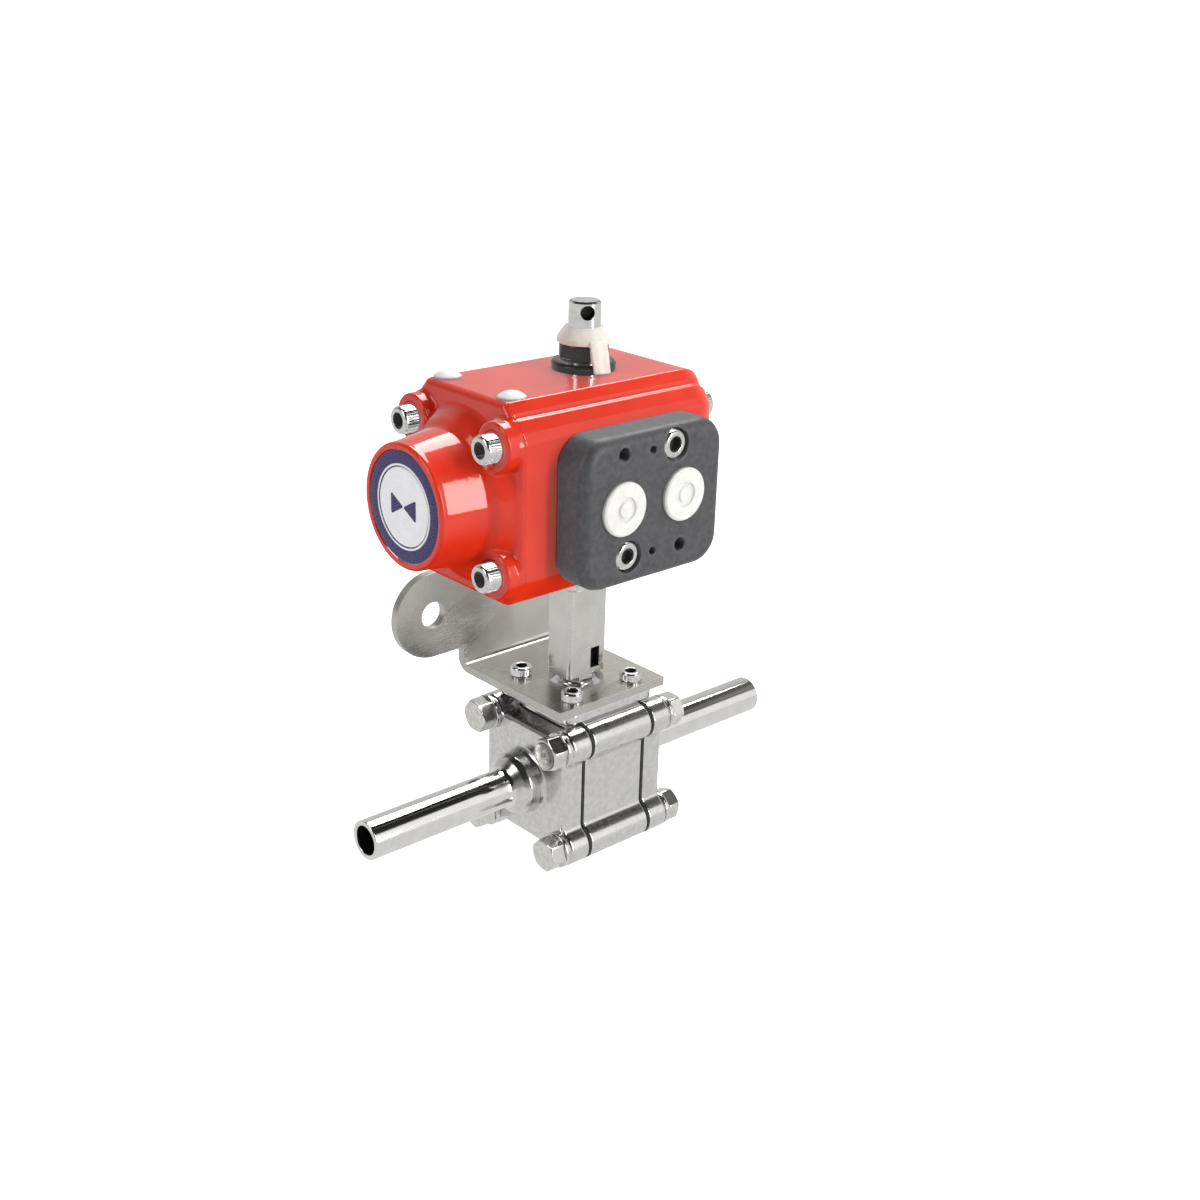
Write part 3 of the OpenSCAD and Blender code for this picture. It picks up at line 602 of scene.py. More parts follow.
class Finish(Tree):
    """Material with short names for the nodes it uses. Lengths are in millimetres."""

    def __init__(self, name):
        self.material = bpy.data.materials.new(name)
        super().__init__(self.material)
        self.surface = self.add("BsdfPrincipled")
        self.add("OutputMaterial", {0: self.surface.outputs[0]})

    @cached_property
    def coordinates(self):
        return self.add("TexCoord").outputs["Object"]

    @cached_property
    def geometry(self):
        return self.add("NewGeometry").outputs

    def put(self, socket, value):
        self.feed(self.surface.inputs[socket], value)

    def noise(self, size, stretch=(1, 1, 1), detail=3, rough=0.55, turn=(0, 0, 0)):
        place_node = self.add("Mapping", {
            "Rotation": [math.radians(angle) for angle in turn],
            "Scale": [1000 / (size * share) for share in stretch],
            "Vector": self.coordinates})
        return self.add("TexNoise", {
            "Scale": 1.0, "Detail": detail, "Roughness": rough,
            "Vector": place_node.outputs[0]}).outputs["Fac"]

    def blend(self, one, two, share=0.5):
        """Sum of two values, the first by its share and the second by the rest."""
        return self.math("ADD", self.math("MULTIPLY", one, share),
                         self.math("MULTIPLY", two, 1 - share))

    def less(self, value, amount, share):
        return self.math("SUBTRACT", value, self.math("MULTIPLY", amount, share))

    def colour(self, factor, start, end, between=(0.35, 0.65)):
        """Colour that goes from start to end as the factor crosses a range."""
        inputs = {0: self.span(factor, between=between)}
        for socket, value in ((6, start), (7, end)):
            inputs[socket] = value if hasattr(value, "is_output") else (*value, 1)
        return self.add("Mix", inputs, data_type="RGBA").outputs[2]

    def edges(self, between=(0.505, 0.56)):
        """0 on flat and hollow places, 1 on worn outer edges."""
        return self.span(self.geometry["Pointiness"], between=between)

    def hollow_shade(self, between=(0.44, 0.495)):
        """1 in hollow places, 0 elsewhere: the mask the finishes use to paint shade into them."""
        return self.span(self.geometry["Pointiness"], to=(1, 0), between=between)

    def up(self):
        return self.add("SeparateXYZ", {0: self.geometry["Normal"]}).outputs[2]

    def mirrored(self):
        """1 where the surface is seen in another surface's reflection."""
        return self.add("LightPath").outputs["Is Glossy Ray"]

    def bump(self, height, depth, under=None):
        """Relief: depth is the height's full swing."""
        inputs = {"Strength": 1.0, "Distance": depth * MM, "Height": height}
        if under is not None:
            inputs["Normal"] = under
        return self.add("Bump", inputs).outputs[0]


# ------------------------------------------------------------------ materials
NOISE_RANGE = (0.3, 0.7)       # where most of a noise's values lie


def shade(tone, share):
    return tuple(share * value for value in tone)


def red_paint(mat):
    big, grain = mat.noise(size=16, detail=2), mat.noise(size=0.28)
    peel = mat.noise(size=1.5, detail=2, rough=0.4)
    tint = mat.colour(big, (0.75, 0.037, 0.012), (0.66, 0.026, 0.009), between=NOISE_RANGE)
    # painted shade: the red darkens in hollows and creases
    tint = mat.colour(mat.hollow_shade(), tint, (0.42, 0.008, 0.008), between=(0.0, 2.2))
    tint = mat.colour(mat.mirrored(), tint, (0.05, 0.004, 0.004), between=(0.0, 1.0))
    mat.put("Base Color", tint)
    mat.put("Roughness", mat.span(grain, to=(0.30, 0.42)))
    mat.put("Specular IOR Level", mat.span(mat.up(), to=(0.0, 0.12), between=(-0.4, -0.05)))
    # thinner, duller coat on faces that look down
    mat.put("Coat Weight", mat.span(mat.up(), to=(0.0, 0.9), between=(-0.35, -0.04)))
    cloud = mat.noise(size=7, detail=4)
    mat.put("Coat Roughness", mat.span(cloud, to=(0.03, 0.09), between=NOISE_RANGE))
    mat.put("Coat IOR", 1.52)
    mat.put("Normal", mat.bump(grain, depth=0.004, under=mat.bump(peel, depth=0.022)))
    mat.put("Coat Normal", mat.bump(peel, depth=0.016))


def cast_steel(mat):
    wave, mid, grain = mat.noise(size=9, detail=2), mat.noise(size=1.7), mat.noise(size=0.22)
    tint = mat.colour(mid, (0.76, 0.757, 0.75), (0.66, 0.657, 0.65))
    # painted shade: dark grey in hollows
    tint = mat.colour(mat.hollow_shade(), tint, (0.24, 0.238, 0.235), between=(0.0, 1.5))
    mat.put("Base Color", tint)
    mat.put("Metallic", 1.0)
    rough = mat.span(mat.blend(mid, grain, share=0.6), to=(0.13, 0.30), between=NOISE_RANGE)
    mat.put("Roughness", mat.less(rough, mat.edges(), share=0.06))
    relief = mat.bump(mid, depth=0.016, under=mat.bump(wave, depth=0.10))
    mat.put("Normal", mat.bump(grain, depth=0.0035, under=relief))


def tube_steel(mat):
    line = mat.noise(size=0.16, stretch=(60, 1, 1), detail=2)
    spot = mat.noise(size=5, detail=4)
    wave = mat.noise(size=11, stretch=(4, 1, 1), detail=1)
    mat.put("Base Color", mat.colour(spot, (0.84, 0.83, 0.82), (0.77, 0.765, 0.755)))
    mat.put("Metallic", 1.0)
    mat.put("Roughness", mat.span(mat.blend(line, spot), to=(0.05, 0.15), between=NOISE_RANGE))
    mat.put("Anisotropic", 0.25)
    mat.put("Normal", mat.bump(line, depth=0.002, under=mat.bump(wave, depth=0.02)))


def turned_steel(mat):
    fine, spot = mat.noise(size=0.12, detail=2), mat.noise(size=2.4, detail=4)
    tint = mat.colour(spot, (0.79, 0.78, 0.765), (0.69, 0.685, 0.675))
    # painted shade: dark grey in hollows
    hollow_shade = mat.hollow_shade(between=(0.40, 0.48))
    mat.put("Base Color", mat.colour(hollow_shade, tint, (0.22, 0.215, 0.21), between=(0.0, 1.6)))
    mat.put("Metallic", 1.0)
    mixed = mat.blend(fine, spot, share=0.4)
    mat.put("Roughness", mat.span(mixed, to=(0.12, 0.28), between=NOISE_RANGE))
    mat.put("Normal", mat.bump(fine, depth=0.002))


def bolt_steel(mat):
    fine, spot = mat.noise(size=0.15), mat.noise(size=1.6, detail=4)
    tint = mat.colour(spot, (0.80, 0.79, 0.77), (0.66, 0.655, 0.64))
    # painted shade: near black in hollows
    hollow_shade = mat.hollow_shade(between=(0.38, 0.48))
    mat.put("Base Color", mat.colour(hollow_shade, tint, (0.10, 0.10, 0.10), between=(0.0, 1.3)))
    mat.put("Metallic", 1.0)
    rough = mat.span(spot, to=(0.12, 0.27), between=NOISE_RANGE)
    mat.put("Roughness", mat.less(rough, mat.edges(), share=0.05))
    mat.put("Normal", mat.bump(fine, depth=0.003, under=mat.bump(spot, depth=0.01)))


def sheet_steel(tone, turn=(0, 0, 0)):
    """Brushed sheet with its grain along X, or turned by angles in degrees."""
    def build(mat):
        grain = mat.noise(size=0.14, stretch=(55, 1, 1), turn=turn)
        pits, spot = mat.noise(size=0.5, detail=4, rough=0.65), mat.noise(size=12, detail=4)
        tint = mat.colour(spot, tone, shade(tone, 0.88))
        mat.put("Base Color", mat.colour(grain, tint, shade(tone, 0.78), between=(0.55, 0.9)))
        mat.put("Metallic", 1.0)
        mixed = mat.blend(grain, pits, share=0.6)
        rough = mat.span(mixed, to=(0.27, 0.43), between=NOISE_RANGE)
        mat.put("Roughness", mat.less(rough, mat.edges(), share=0.1))
        relief = mat.bump(pits, depth=0.0016, under=mat.bump(spot, depth=0.03))
        mat.put("Normal", mat.bump(grain, depth=0.0018, under=relief))
    return build


def dark_plate(mat):
    pits = mat.noise(size=0.35, detail=4, rough=0.7)
    mid, big = mat.noise(size=1.6, detail=4), mat.noise(size=9)
    tint = mat.colour(mid, (0.088, 0.090, 0.097), (0.062, 0.063, 0.070))
    tint = mat.colour(pits, tint, (0.135, 0.138, 0.142), between=(0.58, 0.8))
    edges = mat.edges(between=(0.51, 0.57))
    mat.put("Base Color", mat.colour(edges, tint, (0.17, 0.172, 0.18), between=(0.0, 2.4)))
    mat.put("Metallic", 0.25)
    mixed = mat.blend(pits, big, share=0.6)
    mat.put("Roughness", mat.span(mixed, to=(0.34, 0.58), between=NOISE_RANGE))
    mat.put("Normal", mat.bump(pits, depth=0.018, under=mat.bump(mid, depth=0.02)))


def plastic(light, dark, roughness, subsurface=0.0):
    def build(mat):
        fine, spot = mat.noise(size=0.2), mat.noise(size=3)
        tint = mat.colour(spot, light, dark)
        # painted shade: a darker tone in hollows
        tint = mat.colour(mat.hollow_shade(), tint, shade(dark, 0.45), between=(0.0, 1.8))
        mat.put("Base Color", tint)
        mat.put("Roughness", mat.span(mat.blend(fine, spot), to=roughness, between=NOISE_RANGE))
        if subsurface:
            mat.put("Subsurface Weight", subsurface)
            mat.put("Subsurface Radius", (0.6 * MM, 0.5 * MM, 0.4 * MM))
            mat.put("Subsurface Scale", 1.0)
        mat.put("Normal", mat.bump(fine, depth=0.006))
    return build


def enamel(light, dark, coat):
    def build(mat):
        spot, fine = mat.noise(size=2.5, detail=4), mat.noise(size=0.4, detail=2)
        mat.put("Base Color", mat.colour(spot, light, dark))
        mat.put("Roughness", mat.span(fine, to=(0.22, 0.34)))
        mat.put("Coat Weight", coat)
        mat.put("Coat Roughness", 0.08)
        mat.put("Normal", mat.bump(fine, depth=0.006))
    return build


def rubber(mat):
    fine, spot = mat.noise(size=0.25, detail=4), mat.noise(size=2.0)
    mat.put("Base Color", mat.colour(spot, (0.014, 0.014, 0.015), (0.022, 0.021, 0.021)))
    mat.put("Roughness", mat.span(fine, to=(0.55, 0.75)))
    mat.put("Normal", mat.bump(fine, depth=0.02))


def soft_metal(light, dark, roughness):
    def build(mat):
        fine, spot = mat.noise(size=0.16, stretch=(1, 1, 6)), mat.noise(size=3, detail=4)
        mat.put("Base Color", mat.colour(spot, light, dark))
        mat.put("Metallic", 1.0)
        mat.put("Roughness", mat.span(mat.blend(fine, spot), to=roughness, between=NOISE_RANGE))
        mat.put("Normal", mat.bump(fine, depth=0.004))
    return build


def material(name, build):
    mat = Finish(name)
    build(mat)
    return mat.material


# material name and build function of each slot
FINISHES = {
    "red_coating": ("red_coating_paint", red_paint),
    "cast_stainless": ("cast_stainless_finish", cast_steel),
    "tube_stainless": ("tube_stainless_finish", tube_steel),
    "machined_stainless": ("machined_stainless_finish", turned_steel),
    "bolt_stainless": ("bolt_stainless_finish", bolt_steel),
    "bracket_stainless": ("bracket_stainless_grain_x", sheet_steel((0.60, 0.585, 0.55))),
    # near-black finish that paints shade into the socket insides, the bar's recess, the shaft's
    # hollow top and cross hole, and onto the plug in that hole
    "dark_oxide": ("painted_shade_black_finish", plastic(
        (0.012, 0.012, 0.013), (0.020, 0.019, 0.018), roughness=(0.5, 0.7))),
    # darker sheet tone, painted shade for the base plate's upper face
    "dull_stainless": ("bracket_stainless_painted_shade", sheet_steel((0.47, 0.455, 0.42))),
    "bar_stainless": ("bracket_stainless_grain_z", sheet_steel(
        (0.73, 0.715, 0.685), turn=(0, 90, 0))),
    "dark_coating": ("dark_coating_finish", dark_plate),
    "white_plastic": ("white_plastic_finish", plastic(
        (0.79, 0.79, 0.78), (0.72, 0.72, 0.70), roughness=(0.26, 0.40), subsurface=0.12)),
    "black_plastic": ("black_plastic_finish", plastic(
        (0.018, 0.018, 0.019), (0.028, 0.027, 0.027), roughness=(0.16, 0.32))),
    "cream_plastic": ("cream_plastic_finish", plastic(
        (0.80, 0.78, 0.72), (0.73, 0.70, 0.63), roughness=(0.24, 0.38), subsurface=0.12)),
    "navy_enamel": ("navy_enamel_finish", enamel(
        (0.024, 0.009, 0.13), (0.018, 0.007, 0.10), coat=0.15)),
    "white_enamel": ("white_enamel_finish", enamel(
        (0.93, 0.93, 0.97), (0.88, 0.88, 0.93), coat=0.6)),
    "black_rubber": ("black_rubber_finish", rubber),
    "ptfe": ("ptfe_finish", plastic(
        (0.88, 0.87, 0.84), (0.82, 0.81, 0.77), roughness=(0.35, 0.5), subsurface=0.15)),
    "bronze": ("bronze_finish", soft_metal(
        (0.62, 0.42, 0.20), (0.50, 0.33, 0.16), roughness=(0.25, 0.42))),
    "piston_alloy": ("piston_alloy_finish", soft_metal(
        (0.78, 0.78, 0.79), (0.70, 0.70, 0.71), roughness=(0.22, 0.38))),
    "spring_steel": ("spring_steel_finish", soft_metal(
        (0.30, 0.30, 0.31), (0.22, 0.22, 0.23), roughness=(0.25, 0.45))),
}
MAT = {slot: material(name, build) for slot, (name, build) in FINISHES.items()}

# each CAD node keeps the slot that its own first material names
SLOTS = {}
for node_name, node_object in NODES.items():
    own = node_object.data.materials
    SLOTS[node_name] = own[0].name.split(".")[0] if own else "black_plastic"
for node_name, node_object in NODES.items():
    if SLOTS[node_name] in MAT:
        node_object.data.materials.clear()
        node_object.data.materials.append(MAT[SLOTS[node_name]])


# ------------------------------------------------------------------ actuator shell
DISC_LOW, DISC_HIGH = box("badge_disc")
AXIS_Z = float(DISC_LOW[2] + DISC_HIGH[2]) / 2
(HOUSING_LEFT, _, FOOT_Z), (HOUSING_RIGHT, HALF_WIDTH, TOP_Z) = (
    corner.tolist() for corner in box("actuator_housing"))
LEFT_FACE = float(box("spring_cap")[0][0])
RIGHT_FACE = float(box("flat_cap")[1][0])
BRACKET_TOP = float(box("mounting_bracket")[1][2])

BORE_RADIUS = 22.0
RIGHT_ROUNDING = 11.0
JOINT_EDGE = 0.07                # edge radius where housing and caps meet
LEFT_SCREW_SEAT = -50.4
RIGHT_SCREW_SEAT = RIGHT_FACE - 4.6
LEFT_SCREWS = [centre[1:] for centre in centres("spring_cap_screws")]

# one half of the cross-section: distance from the middle, height over the axis, corner radius
HALF_SECTION = [
    (18.4, 31, 1.3), (21.0, 28.3, 0.9), (21.5, 27.0, 0.8), (23.0, 26.6, 0.9), (25.3, 23.7, 1.8),
    (HALF_WIDTH, 20.8, 2.8), (HALF_WIDTH, -21, 3.0), (19.6, -30, 2.6)]
SECTION = rounded([(-y, z, radius) for y, z, radius in HALF_SECTION] + HALF_SECTION[::-1],
                  segments=6)

# round end of the left cap: distance from the axis, x, corner radius
BARREL = rounded([
    (-6, -46, 0), (22.6, -46, 0), (22.6, -50.2, 1.6), (20.6, -52.4, 3.2),
    (18.9, LEFT_FACE + 2, 0.6), (18.9, LEFT_FACE, 2.1), (-6, LEFT_FACE, 0)], segments=8)


def section(y, z):
    return polygon(SECTION, y, z - AXIS_Z)


def shell(x, y, z):
    """Outer form of the housing and caps: well rounded on the right, a small edge on the left."""
    form = meet(section(y, z), x - RIGHT_FACE, RIGHT_ROUNDING)
    return meet(form, -46.1 - x, 2.0)


def housing(x, y, z):
    form = meet(shell(x, y, z), slab(x, HOUSING_LEFT, HOUSING_RIGHT), JOINT_EDGE)
    form = cut(form, np.hypot(y, z - AXIS_Z) - BORE_RADIUS, 0.3)
    # pocket underneath, up to the top of the bracket and open to the back
    pocket = meet(rounded_rect(x, y, (-22.8, -18.8), (22.8, 40), 0.6), z - BRACKET_TOP)
    form = cut(form, pocket, 0.35)
    # holes above and below the bore
    form = cut(form, meet(np.hypot(x, y) - 7.5, AXIS_Z + 15 - z), 0.4)
    return cut(form, meet(np.hypot(x, y) - 9.5, z - AXIS_Z + 15), 0.3)


def left_cap(x, y, z):
    from_axis = np.hypot(y, z - AXIS_Z)
    from_screws = [np.hypot(y - screw_y, z - screw_z) for screw_y, screw_z in LEFT_SCREWS]
    form = fuse(shell(x, y, z), meet(from_axis - HALF_WIDTH, -51.0 - x, 9.3), 1.2)
    for from_screw in from_screws:
        form = fuse(form, meet(from_screw - 7.4, -50.5 - x, 0.7), 1.5)
    form = meet(form, section(y, z), 0.4)
    form = fuse(form, polygon(BARREL, from_axis, x), 2.6)
    for from_screw in from_screws:
        form = cut(form, meet(from_screw - 4.75, x - LEFT_SCREW_SEAT), 0.45)
    form = meet(form, x - HOUSING_LEFT, JOINT_EDGE)
    # hollow inside and shallow recess for the badge
    form = cut(form, meet(from_axis - 16, slab(x, LEFT_FACE + 4.5, HOUSING_LEFT + 2)), 0.3)
    return cut(form, meet(from_axis - 16.8, x - (LEFT_FACE + 0.9)), 0.12)


def right_cap(x, y, z):
    form = meet(shell(x, y, z), HOUSING_RIGHT - x, JOINT_EDGE)
    form = cut(form, meet(np.hypot(y, z - AXIS_Z) - BORE_RADIUS, x - HOUSING_RIGHT - 2.3), 0.3)
    for screw_y, screw_z in LEFT_SCREWS:
        from_screw = np.hypot(y - screw_y, z - screw_z)
        form = cut(form, meet(from_screw - 4.8, RIGHT_SCREW_SEAT - x), 0.35)
    return form


def section_grid(step):
    """Grid lines in Y and Z around the actuator's cross-section."""
    return (grid(-HALF_WIDTH - 1, HALF_WIDTH + 1, step * COARSE),
            grid(FOOT_Z - 1, TOP_Z + 1, step * COARSE))


def build_shell():
    left_joint, right_joint = (HOUSING_LEFT, 0.4, 0.12), (HOUSING_RIGHT, 0.4, 0.12)
    x_lines = grid(HOUSING_LEFT - 0.8, HOUSING_RIGHT + 0.8, 0.8 * COARSE,
                   [left_joint, right_joint])
    casting("housing_casting", "actuator_housing", "red_coating", housing,
            x_lines, *section_grid(0.55))
    x_lines = grid(LEFT_FACE - 0.8, HOUSING_LEFT + 0.6, 0.45 * COARSE,
                   [left_joint, (LEFT_FACE + 0.5, 0.8, 0.14)])
    casting("domed_cap_casting", "spring_cap", "red_coating", left_cap,
            x_lines, *section_grid(0.42))
    x_lines = grid(HOUSING_RIGHT - 0.6, RIGHT_FACE + 0.8, 0.45 * COARSE, [right_joint])
    casting("end_cap_casting", "flat_cap", "red_coating", right_cap,
            x_lines, *section_grid(0.5))


# ------------------------------------------------------------------ port plate
PLATE_LOW, PLATE_HIGH = (corner.tolist() for corner in box("port_plate"))
PLATE_FRONT, PLATE_BACK = PLATE_LOW[1], PLATE_HIGH[1]
PORT_X = float(sum(corner[0] for corner in box("port_plugs"))) / 2
PORT_SCREW_SEAT = 5.6            # behind the plate's front

# holes, each with a twin half a turn round the plate's middle:
# x and z from the middle, radius, depth, edge radius
PLATE_HOLES = [
    (12, 0, 6.05, 3.0, 0.3),
    (8.9, 15.5, 4.95, PORT_SCREW_SEAT, 0.35),
    (-12, 16, 2.1, 7.5, 0.3),
    (-0.6, 15.6, 1.25, 3, 0.25)]

# plug with a raised rim, a grooved ring and a small pip: radius, height, corner radius
PORT_PLUG = rounded([
    (0.0, -7.0, 0), (5.9, -7.0, 0.3), (5.9, 0.0, 0.2), (8.2, 0.0, 0.25), (8.2, 1.1, 0.3),
    (7.55, 1.56, 0.3), (3.9, 1.56, 0.12), (3.6, 0.95, 0.12), (2.5, 0.95, 0.12),
    (2.2, 1.5, 0.12), (0.0, 1.5, 0)], segments=3)


def port_block(x, y, z):
    form = rounded_rect(x, z, PLATE_LOW[::2], PLATE_HIGH[::2], 9)
    form = meet(form, PLATE_FRONT - y, 3.4)
    form = meet(form, y - PLATE_BACK, 0.25)
    for side in (-1, 1):
        for hole_x, hole_z, radius, depth, edge in PLATE_HOLES:
            from_hole = np.hypot(x - PORT_X - hole_x * side, z - AXIS_Z - hole_z * side)
            form = cut(form, meet(from_hole - radius, y - PLATE_FRONT - depth), edge)
    return form


def build_ports():
    lines = [grid(low - margin, high + margin, 0.4 * COARSE)
             for low, high, margin in zip(PLATE_LOW, PLATE_HIGH, (1, 0.8, 1))]
    casting("port_block_casting", "port_plate", "dark_coating", port_block, *lines)
    plug = revolve(rings_of(PORT_PLUG))
    plugs = [place(plug, (x, PLATE_FRONT, z), (0, -1, 0)) for x, _, z in centres("port_plugs")]
    piece("port_plug_discs", join(plugs), "port_plugs", "white_plastic")
    socket_screws("port_socket_screws", "port_screws", (0, -1, 0), radius=4.25, height=5.0,
                  key=4, length=14.4, first_turn=11, turn_step=23,
                  seat=PLATE_FRONT + PORT_SCREW_SEAT)


# ------------------------------------------------------------------ valve
LOBE_CENTRE = 18
BODY_HALF = 12.5                 # half the middle body's length
BOLT_SEAT = 23.1                 # under the bolt heads and nuts, from the middle
BOLT_FLATS = 10
THREAD_START = 40.0              # from under the bolt heads
HEAD_TURNS = (17, -8, 4, 25)
NUT_TURNS = (9, 31, -6, 14)

# hub and straight tube of an end fitting: distance from the axis, x, corner radius
TUBE = rounded([
    (-4, -12, 0), (10.2, -12, 0), (10.2, -26.6, 1.0), (9.3, -28.4, 2.2), (6.5, -31.2, 2.4),
    (6.35, -33, 3.0), (6.35, -84, 0.3), (-4, -84, 0)], segments=6)
# radius, height, corner radius
WASHER = rounded([(3.05, 0, 0.15), (5.9, 0, 0.3), (5.9, 1.6, 0.4), (3.05, 1.6, 0.15)], segments=3)


def lobes(y, z):
    """Square with a round lobe at each corner."""
    form = rounded_rect(y, z, (-19.5, -19.5), (19.5, 19.5), 0.8)
    for lobe_y in (-LOBE_CENTRE, LOBE_CENTRE):
        for lobe_z in (-LOBE_CENTRE, LOBE_CENTRE):
            form = fuse(form, np.hypot(y - lobe_y, z - lobe_z) - 6.0, 1.5)
    return form


def middle_body(x, y, z):
    form = meet(lobes(y, z), slab(x, -BODY_HALF, BODY_HALF), 0.55)
    neck = meet(rounded_rect(x, y, (-BODY_HALF, -15), (BODY_HALF, 15), 1.5), slab(z, 15, 26))
    form = fuse(form, neck, 1.2)
    pad = meet(rounded_rect(x, y, (-19, -18), (19, 18), 4), slab(z, 24.4, 28), 0.7)
    form = fuse(form, pad, 0.9)
    # bore along the pipe, then the stem's stepped bore from the top down
    form = cut(form, np.hypot(y, z) - 12, 0.3)
    from_stem = np.hypot(x, y)
    form = cut(form, meet(from_stem - 6.5, 16 - z), 0.35)
    form = cut(form, meet(from_stem - 6.3, slab(z, 0, 14)), 0.2)
    return cut(form, meet(from_stem - 4.4, slab(z, 0, 20)), 0.2)


def end_fitting(x, y, z):
    """Left end fitting: lobed flange, hub and tube."""
    form = meet(meet(lobes(y, z), -21.5 - x, 1.3), x + 13.5, 0.45)
    form = fuse(form, polygon(TUBE, np.hypot(y, z), x), 1.8)
    form = meet(form, x + 13.5, 0.3)
    return cut(form, np.hypot(y, z) - 4.7, 0.28)


def build_middle_body():
    casting("valve_middle_casting", "valve_body", "cast_stainless", middle_body,
            grid(-20, 20, 0.5 * COARSE, [(-BODY_HALF, 0.9, 0.3), (BODY_HALF, 0.9, 0.3)]),
            grid(-24.8, 24.8, 0.48 * COARSE), grid(-24.8, 28.8, 0.48 * COARSE))


def build_end_fittings():
    """Both ends are one mesh, turned half round the stem for the right."""
    x_lines = np.concatenate([grid(-84.9, -82.9, 0.2), grid(-81.5, -34.2, 1.7),
                              grid(-33.4, -12.8, 0.42 * COARSE)])
    cross_lines = grid(-24.8, 24.8, 0.46 * COARSE)
    points, quads, normals = field_mesh(end_fitting, x_lines, cross_lines, cross_lines)
    # the straight tube is drawn and polished, the flange and hub are cast
    middle = points[np.array(quads)].mean(1)
    polished = (middle[:, 0] < -30.6) & (np.hypot(middle[:, 1], middle[:, 2]) < 7.2)
    for side, sign in (("left", 1), ("right", -1)):
        turn = [sign, sign, 1]
        ob = piece(side + "_end_fitting", (points * turn, quads), side + "_end_piece",
                   "cast_stainless", normals * turn)
        ob.data.materials.append(MAT["tube_stainless"])
        ob.data.polygons.foreach_set("material_index", polished.astype(np.int32))


def bolt_shank(length):
    """Long bolt's shank, threaded at its far end with a pitch of 1 mm."""
    sides = 36
    rings = [(0, 2.95), (THREAD_START, 2.95)]
    z = THREAD_START
    while z < length - 0.5:
        rings.append((z, thread(z, radius=2.97, depth=0.28, sides=sides)))
        z += 0.2
    return revolve(rings + [(length - 0.35, 2.6), (length, 2.25)], sides)


def build_body_bolts():
    """Long bolts with their heads on the left and nuts on the right."""
    head, nut = hex_head(BOLT_FLATS, 5.3), hex_nut(BOLT_FLATS, 5.0)
    washer = revolve(rings_of(WASHER), 72, hollow=True)
    bolts, nuts, washers = [], [], []
    for i, (low, high) in enumerate(islands("body_bolts")):
        _, y, z = (low + high) / 2
        bolts.append(place(head, (-BOLT_SEAT, y, z), (-1, 0, 0), HEAD_TURNS[i % 4]))
        bolts.append(place(bolt_shank(high[0] + BOLT_SEAT), (-BOLT_SEAT, y, z), (1, 0, 0)))
        nuts.append(place(nut, (BOLT_SEAT, y, z), (1, 0, 0), NUT_TURNS[i % 4]))
    for low, high in islands("body_washers"):
        _, y, z = (low + high) / 2
        washers.append(place(washer, (low[0], y, z), (1, 0, 0)))
    piece("hex_body_bolts", join(bolts), "body_bolts", "bolt_stainless")
    piece("hex_body_nuts", join(nuts), "body_nuts", "bolt_stainless")
    piece("flat_body_washers", join(washers), "body_washers", "bolt_stainless")


# ------------------------------------------------------------------ screws on caps and bracket
def build_screws():
    socket_screws("domed_cap_socket_screws", "spring_cap_screws", (-1, 0, 0), radius=4.25,
                  height=5.0, key=4, length=16.8, first_turn=5, turn_step=13,
                  seat=LEFT_SCREW_SEAT)
    socket_screws("end_cap_socket_screws", "flat_cap_screws", (1, 0, 0), radius=4.25,
                  height=3.5, key=3, length=13.2, first_turn=3, turn_step=17,
                  seat=RIGHT_SCREW_SEAT)
    socket_screws("base_plate_socket_screws", "bracket_valve_screws", (0, 0, 1), radius=3.6,
                  height=3.0, key=3, length=6.8, first_turn=8, turn_step=19, knurls=30)
    socket_screws("top_plate_socket_screws", "bracket_housing_screws", (0, 0, -1), radius=4.25,
                  height=4.0, key=4, length=8.6, first_turn=2, turn_step=29)


# ------------------------------------------------------------------ badge
BADGE_X = float(box("badge_ring")[0][0] + 0.3)
BADGE_SIDES = 128
SYMBOL_LOW, SYMBOL_HIGH = 0.30, 0.46        # heights of the raised symbol

# radius, height out from BADGE_X, corner radius
BADGE_RING = rounded([(11.85, -0.3, 0.05), (16.6, -0.3, 0.05), (16.6, 0.3, 0.25),
                      (11.85, 0.3, 0.15)], segments=4)
BADGE_DISC = rounded([(0.0, -0.25, 0), (11.7, -0.25, 0.05), (11.7, 0.27, 0.12),
                      (10.9, 0.34, 0.1), (0.0, 0.34, 0)], segments=3)
BADGE_LINE = rounded([(12.15, 0.24, 0.06), (12.75, 0.24, 0.06), (12.75, 0.42, 0.06),
                      (12.15, 0.42, 0.06)], segments=2)
# one triangle of the symbol: across, up, corner radius
TRIANGLE = [(-6.0, -3.4, 0.45), (-0.35, -0.2, 0.45), (-0.35, 0.2, 0.45), (-6.0, 3.4, 0.45)]


def badge_part(outline, hollow):
    solid = revolve(rings_of(outline), BADGE_SIDES, hollow)
    return place(solid, (BADGE_X, 0, AXIS_Z), (-1, 0, 0))


def valve_symbol():
    """The generic drawing symbol for a valve: two triangles point to point."""
    parts = []
    for side in (1, -1):
        outline = rounded([(side * x, side * y, radius) for x, y, radius in TRIANGLE], segments=4)
        count = len(outline)
        low = [(x, y, SYMBOL_LOW) for x, y in outline]
        high = [(x * 0.985, y * 0.985, SYMBOL_HIGH) for x, y in outline]
        faces = [tuple(range(count, 2 * count)), tuple(range(count - 1, -1, -1))]
        for i in range(count):
            j = (i + 1) % count
            faces.append((i, j, count + j, count + i))
        parts.append((np.array(low + high, float), faces))
    points, faces = join(parts)
    across, up, out = points.T
    return np.stack([BADGE_X - out, -across, AXIS_Z + up], 1), faces


